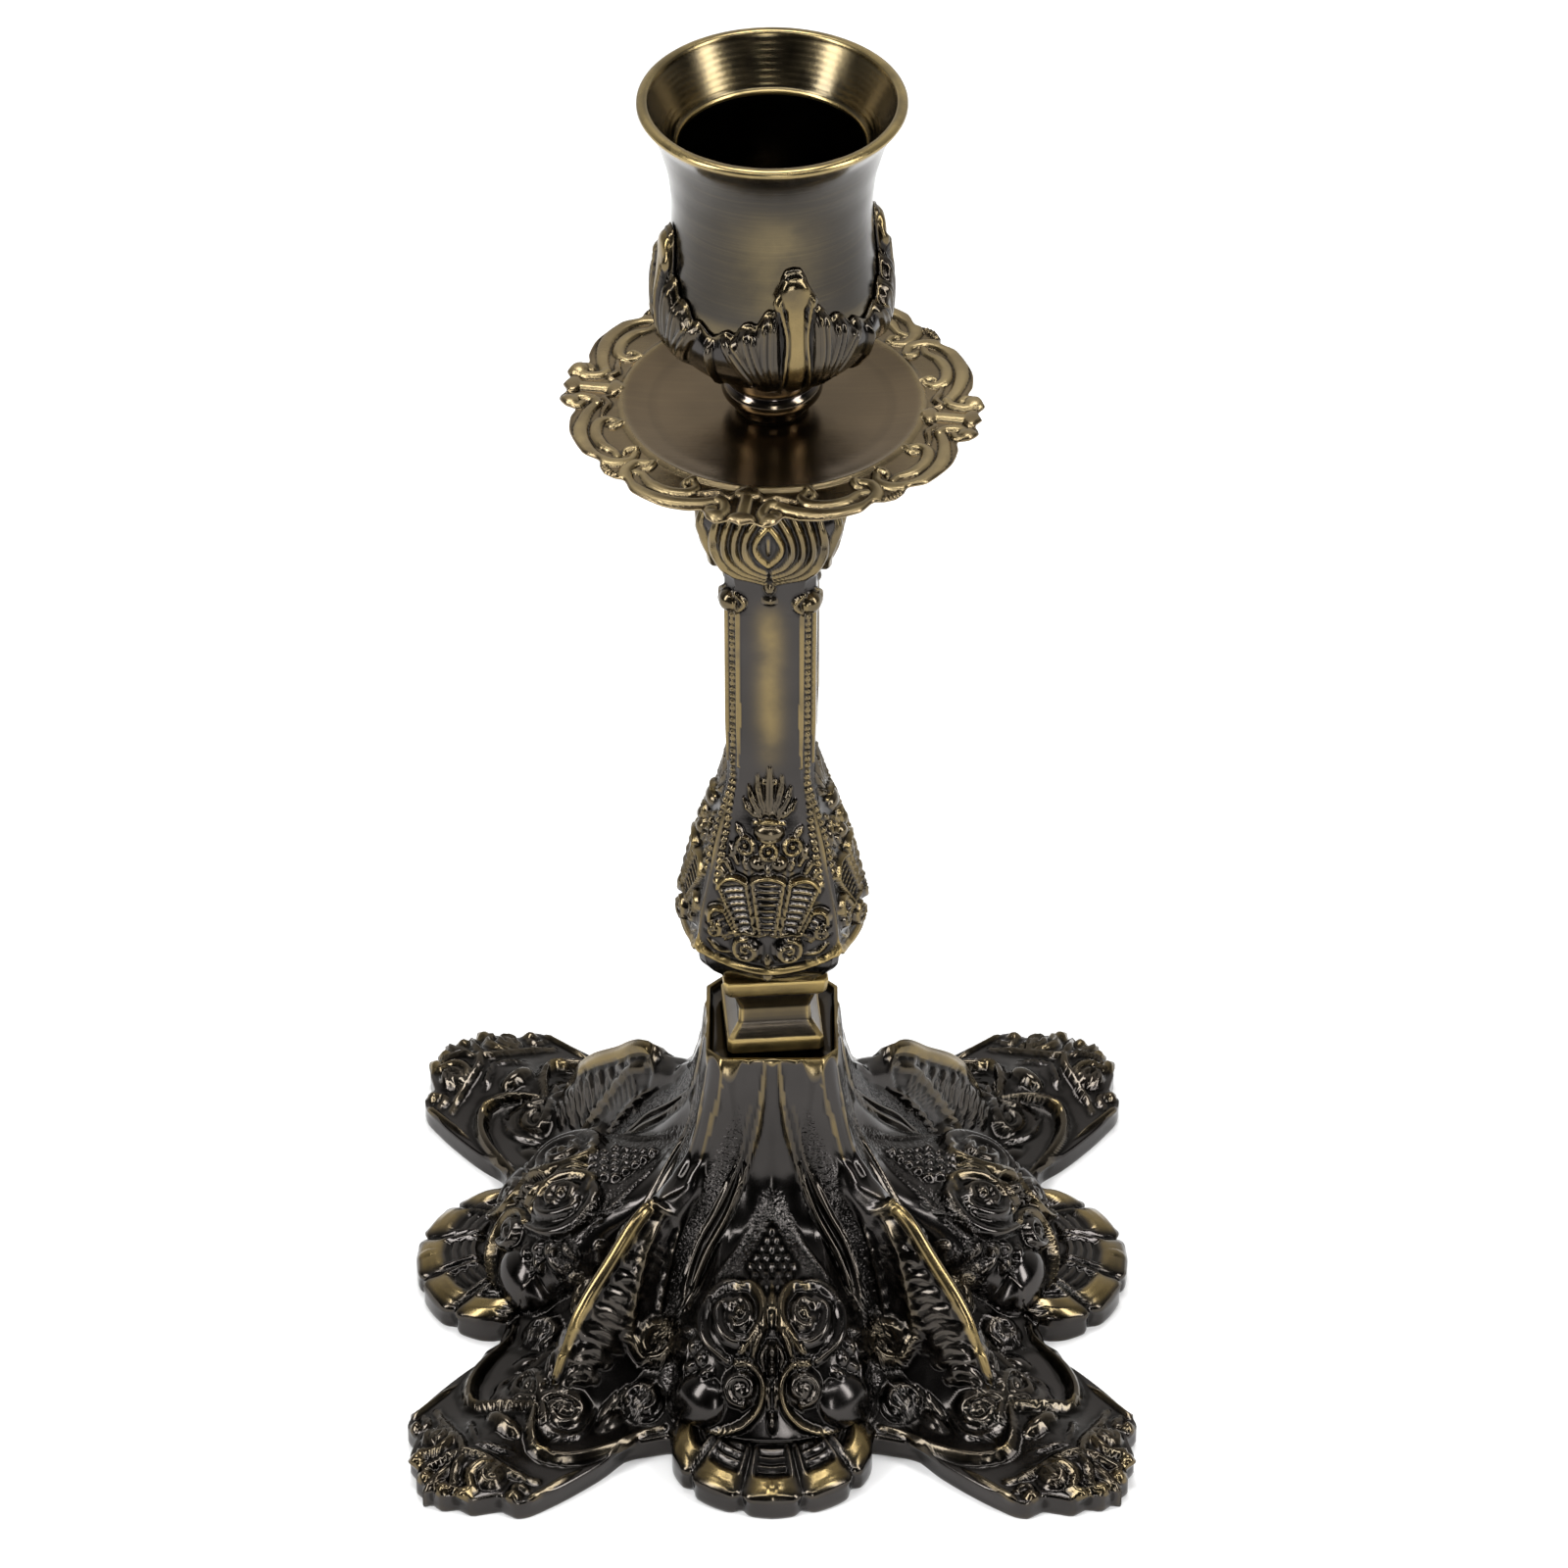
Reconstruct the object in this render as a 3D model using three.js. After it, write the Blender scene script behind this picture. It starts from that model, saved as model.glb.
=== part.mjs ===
// Antique brass candlestick: a square-plan cast base on four feet, a square spool, a cast baluster
// stem, a scalloped drip pan, a bead collar, a four-leaf calyx and a turned candle cup. All of them
// are threaded on one rod down the middle and clamped between a nut sunk in the cup's floor and a
// washer stack inside the hollow base. Millimetres, +Z up, origin under the middle of the base.
import * as THREE from 'three';

// ---- driving dimensions ---------------------------------------------------------------------
const HEIGHT = 183.2;        // table to the cup's rim
const BASE_HALF = 46.5;      // half of the base's overall width
const CANDLE_BORE = 11.1;    // radius, for a standard 22 mm taper
const CLEARANCE = 0.3;       // gap between two pieces that are clamped face to face
const ROD_RADIUS = 2.0;      // M4 studding
const BORE = ROD_RADIUS + CLEARANCE;
const WALL = 2.2;            // wall of the hollow base casting

// Heights of the joints between the clamped pieces, from the table up.
const BASE_TOP = 44.0;
const SEAT = 43.0;           // floor of the square recess that the spool stands in
const SPOOL_BOTTOM = SEAT + CLEARANCE;
const SPOOL_TOP = 55.2;
const STEM_BOTTOM = SPOOL_TOP + CLEARANCE;
const STEM_TOP = 137.9;
const PAN_BOTTOM = STEM_TOP + CLEARANCE;
const PAN_CENTRE_TOP = 139.4;
const COLLAR_BOTTOM = PAN_CENTRE_TOP + CLEARANCE;
const COLLAR_TOP = 146.9;
const CALYX_BOTTOM = COLLAR_TOP + CLEARANCE;
const CUP_BOTTOM = 148.6;
const CUP_FLOOR = 155.4;     // the candle stands here
const CUP_SINK = 150.6;      // floor of the counterbore that hides the top nut
const LEDGE = 177.0;         // where the flared mouth meets the candle bore

// The cast pieces are not clocked to each other: each has its own turn about the rod, in degrees.
const SPOOL_TURN = 4.5;
const STEM_TURN = -3;
const PAN_TURN = -8.6;
const CUP_TURN = 12;

// ---- materials ------------------------------------------------------------------------------
function metal(color, roughness) {
  return new THREE.MeshStandardMaterial({ color, roughness, metalness: 1 });
}

const GUNMETAL = 0x3a332b;   // darkened casting
const OLD_BRASS = 0x7a6640;  // brushed, lightly darkened brass
const STEEL = 0x8c8c88;      // plain fixings

// ---- shape helpers --------------------------------------------------------------------------
const radians = THREE.MathUtils.degToRad;
const { lerp, smoothstep } = THREE.MathUtils;

// Straight-line reading of a list of [x, y] points at x.
function along(points, x) {
  if (x <= points[0][0]) return points[0][1];
  for (let i = 1; i < points.length; i++) {
    const [x0, y0] = points[i - 1];
    const [x1, y1] = points[i];
    if (x <= x1) return lerp(y0, y1, (x - x0) / (x1 - x0));
  }
  return points.at(-1)[1];
}

// Angle from the nearest of the four faces, 0 to 45 degrees.
function folded(angle) {
  const quarter = ((angle % 90) + 90) % 90;
  return Math.min(quarter, 90 - quarter);
}

// All the angles round the axis that fold onto the given ones, which run from 0 to 45.
function allRound(octant) {
  const angles = [];
  for (let quarter = 0; quarter < 360; quarter += 90) {
    for (const angle of octant) angles.push(quarter + angle);
    for (const angle of octant.slice(1, -1).reverse()) angles.push(quarter + 90 - angle);
  }
  return angles;
}

function evenly(count) {
  return Array.from({ length: count }, (unused, i) => (360 * i) / count);
}

// A closed body round the axis. Each station gives [radius, height] at an angle in degrees; the
// stations run up the bore, over the top, down the outside and back underneath.
function ringLoft(angles, stations) {
  const positions = [];
  for (const station of stations) {
    for (const angle of angles) {
      const [radius, height] = station(angle);
      positions.push(radius * Math.cos(radians(angle)), radius * Math.sin(radians(angle)), height);
    }
  }
  const around = angles.length;
  const indices = [];
  for (let i = 0; i < stations.length; i++) {
    const next = (i + 1) % stations.length;
    for (let j = 0; j < around; j++) {
      const side = (j + 1) % around;
      const a = i * around + j;
      const b = i * around + side;
      const c = next * around + side;
      const d = next * around + j;
      indices.push(a, c, b, a, d, c);
    }
  }
  const geometry = new THREE.BufferGeometry();
  geometry.setAttribute('position', new THREE.Float32BufferAttribute(positions, 3));
  geometry.setIndex(indices);
  geometry.computeVertexNormals();
  return geometry;
}

// A turned piece from a closed list of [radius, height], listed anticlockwise.
function turned(profile, segments) {
  const points = [...profile, profile[0]].map(([radius, height]) => new THREE.Vector2(radius, height));
  return new THREE.LatheGeometry(points, segments).rotateX(Math.PI / 2);
}

// A flat plate of the given outline and thickness, with a round hole for the rod.
function plate(shape, thickness, holeRadius) {
  const hole = new THREE.Path().absarc(0, 0, holeRadius, 0, 2 * Math.PI, true);
  shape.holes.push(hole);
  return new THREE.ExtrudeGeometry(shape, { depth: thickness, bevelEnabled: false, curveSegments: 12 });
}

const candlestick = new THREE.Group();

function add(name, geometry, material, height = 0, turn = 0) {
  const mesh = new THREE.Mesh(geometry, material);
  mesh.name = name;
  mesh.position.z = height;
  mesh.rotation.z = radians(turn);
  candlestick.add(mesh);
}

// ---- base casting ---------------------------------------------------------------------------
// One octant of the plan outline: three shell lobes from the middle of a side, a notch, then the
// neck, the ear and the end of a foot.
const BASE_OUTLINE = [
  [BASE_HALF, 0], [45.4, 4], [44.3, 7], [41.9, 10.4], [38, 12.9], [34.4, 13], [35, 15.5],
  [36.1, 19], [38.6, 21], [41.6, 24.5], [BASE_HALF, 31], [45.7, 38], [44.1, 44.1],
];
const OUTLINE_POLAR = BASE_OUTLINE.map(([x, y]) => [
  THREE.MathUtils.radToDeg(Math.atan2(y, x)), Math.hypot(x, y),
]);
const TOP_FACE = 8.4;        // axis to the flat of the chamfered square top
const TOP_CHAMFER = 14.8;    // x + y along the chamfer
const SEAT_RIM = 0.5;        // width of the edge left round the spool's recess
const FLANK = 24;            // degrees from the middle of a side to the hollow flank
const EDGE = 2.2;            // height of the rim's upright edge
const SOLE = 1.5;            // metal over the hollow, measured upright
const FOOT_LAND = 7;         // solid length under the end of a foot
const OUTER_RINGS = 10;      // rings of facets down the outside, crowded towards the top
const INNER_RINGS = 7;

// Height of the casting over the distance from the axis: along the middle of a side, down the
// flank, and along the diagonal ridge onto a foot.
const SIDE_PROFILE = [
  [8.4, 44], [8.8, 38], [9.6, 31], [10.8, 26], [13, 23], [18, 20], [25, 18.4], [28, 17.4],
  [31, 14.5], [33.5, 11.5], [35.5, 7.5], [37.2, 4.8], [BASE_HALF, 3],
];
const FLANK_PROFILE = [
  [9.2, 44], [9.8, 38], [11, 30], [12.6, 26], [15, 22.5], [19, 17.5], [24, 12], [28, 8.5],
  [31, 6.5], [34, 4.6], [37, 3.4], [62, 2.8],
];
const RIDGE_PROFILE = [
  [10.4, 44], [11, 39.7], [14.1, 29.3], [16.3, 26.5], [22.9, 26.3], [28.6, 21.8], [34.9, 17],
  [38.6, 10], [39.8, 6.4], [42.5, 3.4], [47, 2.8], [56, 3.2], [62.4, 2.6],
];

function outlineRadius(angle) {
  return along(OUTLINE_POLAR, folded(angle));
}

// The chamfered square top, drawn in by an inset.
function topRadius(angle, inset = 0) {
  const turn = radians(folded(angle));
  const chamfer = (TOP_CHAMFER - Math.SQRT2 * inset) / (Math.cos(turn) + Math.sin(turn));
  return Math.min((TOP_FACE - inset) / Math.cos(turn), chamfer);
}

function castingHeight(angle, radius) {
  const turn = folded(angle);
  const flank = along(FLANK_PROFILE, radius);
  if (turn < FLANK) {
    const side = along(SIDE_PROFILE, radius * Math.cos(radians(turn)));
    return lerp(side, flank, smoothstep(turn, 0, FLANK));
  }
  const ridge = along(RIDGE_PROFILE, radius * Math.cos(radians(45 - turn)));
  return lerp(flank, ridge, smoothstep(turn, FLANK, 45));
}

// The outline drawn in by a wall that is measured square to it.
function insetRadius(angle, wall) {
  const step = 0.5;
  const radius = outlineRadius(angle);
  const slope = (outlineRadius(angle + step) - outlineRadius(angle - step)) / radians(2 * step);
  return radius - Math.min(wall * Math.hypot(1, slope / radius), 2 * wall);
}

function baseCasting() {
  const shares = (rings) => Array.from({ length: rings }, (unused, i) => ((i + 1) / (rings + 1)) ** 1.6);
  const outer = shares(OUTER_RINGS).map((share) => (angle) => {
    const radius = lerp(topRadius(angle), outlineRadius(angle), share);
    return [radius, castingHeight(angle, radius)];
  });
  const landInset = (angle) => WALL + (FOOT_LAND - WALL) * smoothstep(folded(angle), 36, 44);
  const inner = shares(INNER_RINGS).map((share) => (angle) => {
    const limit = insetRadius(angle, landInset(angle));
    const radius = lerp(topRadius(angle) - WALL, limit, share);
    return [radius, castingHeight(angle, radius + WALL) - SOLE];
  });
  return ringLoft(allRound(OUTLINE_POLAR.map(([angle]) => angle)), [
    () => [BORE, SEAT],
    (angle) => [topRadius(angle, SEAT_RIM), SEAT],
    (angle) => [topRadius(angle, SEAT_RIM), BASE_TOP],
    (angle) => [topRadius(angle), BASE_TOP],
    ...outer,
    (angle) => [outlineRadius(angle), EDGE],
    (angle) => [outlineRadius(angle), 0],
    (angle) => [insetRadius(angle, landInset(angle)), 0],
    (angle) => [insetRadius(angle, landInset(angle)), EDGE - SOLE],
    ...inner.reverse(),
    (angle) => [topRadius(angle) - WALL - CLEARANCE, BASE_TOP - 4],
    () => [BORE, BASE_TOP - 4],
  ]);
}
add('base_casting', baseCasting(), metal(GUNMETAL, 0.22));

// ---- square pieces: spool and stem ----------------------------------------------------------
// Radius at an angle of a square with cut corners: half-width of the square at the end of its
// flat, half-length of the flat, and how far the middle of the flat stands.
const SQUARE_ANGLES = [0, 20, 34, 45];

function squareRadius(angle, middle, edge, flat) {
  const turn = folded(angle);
  const corner = THREE.MathUtils.radToDeg(Math.atan2(flat, edge));
  if (turn <= corner) {
    const face = lerp(middle, edge, smoothstep(turn, 0, corner));
    return face / Math.cos(radians(turn));
  }
  return (edge + flat) / (Math.cos(radians(turn)) + Math.sin(radians(turn)));
}

function squareLoft(sections) {
  const [firstHeight] = sections[0];
  const [lastHeight] = sections.at(-1);
  return ringLoft(allRound(SQUARE_ANGLES), [
    () => [BORE, firstHeight],
    () => [BORE, lastHeight],
    ...sections.toReversed().map(([height, middle, edge, flat]) => (angle) => [
      squareRadius(angle, middle, edge, flat), height,
    ]),
  ]);
}

// Sections are [height, middle, edge, flat].
add('neck_spool', squareLoft([
  [SPOOL_BOTTOM, 6.1, 6.1, 5.3],
  [45.4, 6.1, 6.1, 5.3],
  [47.3, 4.6, 4.6, 4.2],
  [49.5, 4.5, 4.5, 4.1],
  [51.8, 5.2, 5.2, 4.7],
  [53.0, 6.4, 6.4, 5.8],
  [SPOOL_TOP, 6.7, 6.7, 6.0],
]), metal(OLD_BRASS, 0.3), 0, SPOOL_TURN);

add('stem_baluster', squareLoft([
  [STEM_BOTTOM, 6.6, 6.4, 5.4],
  [56.6, 8.2, 7.6, 6.4],
  [58.2, 10.0, 8.6, 7.4],
  [60.4, 11.2, 9.2, 8.2],
  [63.6, 11.6, 9.5, 8.6],
  [67.5, 11.2, 9.2, 8.2],
  [71.5, 10.4, 8.6, 7.4],
  [75.5, 9.4, 7.9, 6.5],
  [79.5, 8.1, 7.1, 5.5],
  [83.5, 6.5, 6.2, 4.6],
  [87, 5.7, 5.6, 3.9],
  [91, 5.4, 5.4, 3.7],
  [111.8, 5.5, 5.5, 3.7],
  [113.7, 5.6, 5.9, 4.4],
  [115.6, 5.6, 5.6, 4.1],
  [117.2, 5.9, 5.6, 4.3],
  [119, 6.8, 6.4, 5.0],
  [121, 7.6, 7.1, 5.6],
  [123.8, 8.3, 7.9, 6.3],
  [126.5, 8.8, 8.3, 6.6],
  [128.8, 8.2, 7.6, 6.0],
  [130.8, 6.6, 6.2, 4.9],
  [133, 5.9, 5.7, 4.4],
  [135.6, 7.0, 6.7, 5.2],
  [STEM_TOP, 8.2, 7.8, 6.2],
]), metal(GUNMETAL, 0.25), 0, STEM_TURN);

// ---- drip pan -------------------------------------------------------------------------------
// One octant of the rim as [degrees, radius]: a bone with a volute beside it, a neck, the long
// scroll, and the fringe on the diagonal.
const PAN_OUTLINE = [
  [0, 25.5], [3, 24.9], [6.5, 25.6], [9.5, 25], [12, 23.7], [16, 24.4], [24, 25], [33, 24.9],
  [39, 23.9], [42, 24.5], [45, 24.8],
];
const PAN_FIELD = 18.6;      // radius of the smooth dished field
const PAN_RIM = 140.6;       // top of the raised rim
const PAN_EDGE = 139.6;      // underside at the rim

function panScale(scale, height) {
  return (angle) => [scale * along(PAN_OUTLINE, folded(angle)), height];
}
add('drip_pan', ringLoft(allRound(PAN_OUTLINE.map(([angle]) => angle)), [
  () => [BORE, PAN_CENTRE_TOP],
  () => [10, PAN_CENTRE_TOP],
  () => [PAN_FIELD, PAN_RIM - 0.6],
  panScale(0.82, PAN_RIM - 0.4),
  panScale(0.86, PAN_RIM),
  panScale(0.97, PAN_RIM),
  panScale(1, PAN_RIM - 0.4),
  panScale(1, PAN_EDGE),
  panScale(0.8, PAN_EDGE - 0.6),
  () => [10, PAN_BOTTOM],
  () => [BORE, PAN_BOTTOM],
]), metal(OLD_BRASS, 0.35), 0, PAN_TURN);

// ---- bead collar ----------------------------------------------------------------------------
add('cup_collar', turned([
  [BORE, COLLAR_BOTTOM], [4.6, COLLAR_BOTTOM], [4.9, 140.6], [5.4, 141.2], [6.0, 141.8],
  [6.2, 142.6], [6.0, 143.4], [5.6, 143.9], [5.9, 144.3], [6.0, 146.6], [5.8, COLLAR_TOP],
  [BORE, COLLAR_TOP],
], 20), metal(GUNMETAL, 0.15));

// ---- candle cup -----------------------------------------------------------------------------
// Outside of the cup from the bottom up, [radius, height].
const CUP_OUTSIDE = [
  [6, CUP_BOTTOM], [8.6, 149.2], [10.6, 150.6], [11.9, 152.6], [12.6, 155], [12.8, 157.5],
  [12.5, 160.5], [12.1, 164.5], [11.9, 168.5], [12.2, 172.5], [13.1, 176.6], [14.4, 180.2],
  [15.6, 182], [15.95, 182.6],
];
const SINK_RADIUS = 6.4;

add('candle_cup', turned([
  [BORE, CUP_BOTTOM], ...CUP_OUTSIDE, [15.3, HEIGHT], [14.56, 182.6],
  [12.9, 179.4], [CANDLE_BORE + 0.3, LEDGE], [CANDLE_BORE, LEDGE - 0.4],
  [CANDLE_BORE, CUP_FLOOR], [SINK_RADIUS, CUP_FLOOR], [SINK_RADIUS, CUP_SINK], [BORE, CUP_SINK],
], 32), metal(GUNMETAL, 0.25), 0, CUP_TURN);

// ---- leaf calyx -----------------------------------------------------------------------------
// A thin cast shell round the bowl of the cup. Its upper edge dips between the four leaves and
// rises to a narrow rounded tip at the middle of each, [degrees from the tip, height].
const CALYX_EDGE = [
  [0, 167.2], [5, 166.9], [9, 164.6], [12, 161.8], [22, 160.2], [34, 158.4], [45, 157.4],
];
const CALYX_FOOT = 152;    // the bowl curves in below this height
const CALYX_SKIN = [
  [CALYX_FOOT, 1.6], [154.3, 1.6], [158, 1.3], [163.5, 1.8], [167.2, 1.1],
];
// Where the shell wraps under the bowl, [radius, height], inside and outside.
const CALYX_UNDER_INSIDE = [[6.2, 148.2], [8.8, 148.75], [10.95, 150.2]];
const CALYX_UNDER_OUTSIDE = [[6.4, CALYX_BOTTOM], [9.8, 148.3], [12, 149.9]];

function cupRadius(height) {
  return along(CUP_OUTSIDE.map(([radius, z]) => [z, radius]), height);
}

function leafCalyx() {
  const shares = [1, 0.8, 0.55, 0.3, 0];
  const level = (share) => (angle) => lerp(CALYX_FOOT, along(CALYX_EDGE, folded(angle)), share);
  const outside = shares.map((share) => (angle) => {
    const height = level(share)(angle);
    return [cupRadius(height) + CLEARANCE + along(CALYX_SKIN, height), height];
  });
  const inside = shares.toReversed().map((share) => (angle) => {
    const height = level(share)(angle);
    return [cupRadius(height) + CLEARANCE, height];
  });
  return ringLoft(allRound(CALYX_EDGE.map(([angle]) => angle)), [
    () => [BORE, CALYX_UNDER_INSIDE[0][1]],
    ...CALYX_UNDER_INSIDE.map((point) => () => point),
    ...inside,
    ...outside,
    ...CALYX_UNDER_OUTSIDE.toReversed().map((point) => () => point),
    () => [BORE, CALYX_BOTTOM],
  ]);
}
add('leaf_calyx', leafCalyx(), metal(GUNMETAL, 0.3), 0, CUP_TURN);

// ---- rod, washers and nuts ------------------------------------------------------------------
const WASHER_THICK = 1.0;
const WASHER_RADIUS = 5.5;
const SPRING_RADIUS = 3.6;
const NUT_ACROSS_FLATS = 7;
const NUT_THICK = 3.2;
const JAM_NUT_THICK = 2.2;
const ROD_BOTTOM = 31.0;
const ROD_TOP = 154.9;
const ROD_CHAMFER = 0.5;

function washer() {
  const shape = new THREE.Shape().absarc(0, 0, WASHER_RADIUS, 0, 2 * Math.PI);
  return plate(shape, WASHER_THICK, BORE);
}

// A spring washer is a ring with a narrow slit.
function springWasher() {
  const slit = radians(12);
  const shape = new THREE.Shape();
  shape.absarc(0, 0, SPRING_RADIUS, slit, 2 * Math.PI, false);
  shape.absarc(0, 0, BORE, 2 * Math.PI, slit, true);
  return new THREE.ExtrudeGeometry(shape, {
    depth: WASHER_THICK, bevelEnabled: false, curveSegments: 20,
  });
}

function hexNut(thickness) {
  const corner = NUT_ACROSS_FLATS / Math.sqrt(3);
  const shape = new THREE.Shape(evenly(6).map((angle) => new THREE.Vector2(
    corner * Math.cos(radians(angle)), corner * Math.sin(radians(angle)),
  )));
  return plate(shape, thickness, BORE);
}

const steel = metal(STEEL, 0.35);
const washerHeight = BASE_TOP - 4 - CLEARANCE - WASHER_THICK;
const springHeight = washerHeight - CLEARANCE - WASHER_THICK;
add('base_washer', washer(), steel, washerHeight);
add('lock_washer', springWasher(), steel, springHeight);
add('base_nut', hexNut(NUT_THICK), steel, springHeight - CLEARANCE - NUT_THICK, 10);
add('cup_washer', washer(), steel, CUP_SINK + CLEARANCE);
add('cup_nut', hexNut(JAM_NUT_THICK), steel, CUP_SINK + 2 * CLEARANCE + WASHER_THICK, 25);

const rodProfile = [
  [0, ROD_BOTTOM], [ROD_RADIUS - ROD_CHAMFER, ROD_BOTTOM], [ROD_RADIUS, ROD_BOTTOM + ROD_CHAMFER],
  [ROD_RADIUS, ROD_TOP - ROD_CHAMFER], [ROD_RADIUS - ROD_CHAMFER, ROD_TOP], [0, ROD_TOP],
].map(([radius, height]) => new THREE.Vector2(radius, height));
add('tie_rod', new THREE.LatheGeometry(rodProfile, 16).rotateX(Math.PI / 2), steel);

export default candlestick;
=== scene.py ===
"""Antique brass candlestick: the cast, turned and plated surfaces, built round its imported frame.

Shapes are worked out in millimetres in the frame's own axes, and piece() turns them into metres.
A casting starts as a smooth ground of rings round the axis. Ornament is drawn on it as strokes,
blobs and spirals of a Relief, which is a height over the ground, and the ground's points are then
pushed out along their normals. The casting also carries where its finish is rubbed to bare brass.
"""
import math

import bpy
import numpy as np
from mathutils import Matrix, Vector


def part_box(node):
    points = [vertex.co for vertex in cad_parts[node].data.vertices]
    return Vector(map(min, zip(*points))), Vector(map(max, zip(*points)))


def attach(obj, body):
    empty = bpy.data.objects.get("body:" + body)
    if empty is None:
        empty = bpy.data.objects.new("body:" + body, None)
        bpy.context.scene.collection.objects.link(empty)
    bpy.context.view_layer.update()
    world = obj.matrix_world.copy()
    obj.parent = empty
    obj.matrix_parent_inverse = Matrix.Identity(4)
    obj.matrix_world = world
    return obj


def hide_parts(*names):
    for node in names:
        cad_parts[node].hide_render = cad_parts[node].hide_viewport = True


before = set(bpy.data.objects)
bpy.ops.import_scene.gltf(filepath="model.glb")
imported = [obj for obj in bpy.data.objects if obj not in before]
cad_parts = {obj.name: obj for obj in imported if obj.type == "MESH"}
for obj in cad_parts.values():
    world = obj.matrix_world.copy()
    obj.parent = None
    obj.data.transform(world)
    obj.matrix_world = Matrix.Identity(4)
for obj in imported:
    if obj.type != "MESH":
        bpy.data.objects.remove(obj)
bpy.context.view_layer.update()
MM = 0.001
ROOT2 = math.sqrt(2)


# ---- sizes from the frame ----
def low(node):
    """The height of a node's lowest point."""
    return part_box(node)[0].z / MM


def high(node):
    """The height of a node's highest point."""
    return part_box(node)[1].z / MM


def half(node):
    """Half of a node's width."""
    lowest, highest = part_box(node)
    return (highest.x - lowest.x) / 2 / MM


BORE = 2.3                # clearance hole for the rod, radius
WALL = 2.2                # wall of the hollow base
BASE_HALF = half("base_casting")
BASE_TOP = high("base_casting")
SPOOL_TURN = 4.5          # degrees that each piece is turned about the rod
STEM_TURN = -3
PAN_TURN = -8.6
CUP_TURN = 12


# ---- numbers and curves ----
def ease(x, start, end):
    """Smooth step from 0 at start to 1 at end."""
    t = np.clip((x - start) / (end - start), 0, 1)
    return t * t * (3 - 2 * t)


def mix(a, b, share):
    return a + (b - a) * share


def bell(x, width):
    """A smooth bump of height 1 at x = 0."""
    return np.exp(-(x / width) ** 2)


def ladder(x, pitch):
    """A row of rounded bars, from 0 to 1."""
    return 0.5 + 0.5 * np.cos(2 * math.pi * x / pitch)


def smooth(points, x):
    """Monotone cubic reading of a list of [x, y] points."""
    px, py = np.array(points, float).T
    step = np.diff(px)
    slope = np.diff(py) / step
    product = slope[:-1] * slope[1:]
    total = np.where(product > 0, slope[:-1] + slope[1:], 1)
    tangent = np.concatenate([[slope[0]], np.where(product > 0, 2 * product / total, 0), [slope[-1]]])
    i = np.clip(np.searchsorted(px, x) - 1, 0, len(step) - 1)
    t = np.clip((x - px[i]) / step[i], 0, 1)
    rise = (3 - 2 * t) * t * t
    return (
        mix(py[i], py[i + 1], rise)
        + step[i] * (t * (1 - t) ** 2 * tangent[i] - t * t * (1 - t) * tangent[i + 1])
    )


def curve(*points, steps=8):
    """A smooth path through the points."""
    p = np.array(points, float)
    p = np.vstack([2 * p[0] - p[1], p, 2 * p[-1] - p[-2]])
    t = np.linspace(0, 1, steps, endpoint=False)[:, None]
    spans = [
        0.5 * (2 * b + (c - a) * t + (2 * a - 5 * b + 4 * c - d) * t**2 + (3 * b - a - 3 * c + d) * t**3)
        for a, b, c, d in zip(p, p[1:], p[2:], p[3:])
    ]
    return np.vstack([*spans, p[-2][None]])


def spiral(centre, radius, start, turns, eye=0.12, squash=1.0):
    """A path that winds in from radius to its eye, from the start angle in degrees."""
    share = np.linspace(0, 1, int(abs(turns) * 22) + 3)
    angle = math.radians(start) + share * turns * 2 * math.pi
    reach = radius * (1 - (1 - eye) * share)
    return np.stack([centre[0] + reach * np.cos(angle), centre[1] + squash * reach * np.sin(angle)], 1)


def polar(radius, degrees):
    turn = np.radians(degrees)
    return np.stack([radius * np.cos(turn), radius * np.sin(turn)], -1)


def folded(degrees):
    """Angle from the middle of the nearest face, 0 to 45."""
    turn = degrees % 90
    return np.minimum(turn, 90 - turn)


def around(count):
    return np.arange(count) * 360 / count


def ring(radius, height, count):
    """One ring; radius and height are numbers, or arrays of count."""
    return np.column_stack([polar(radius * np.ones(count), around(count)), height * np.ones(count)])


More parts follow.
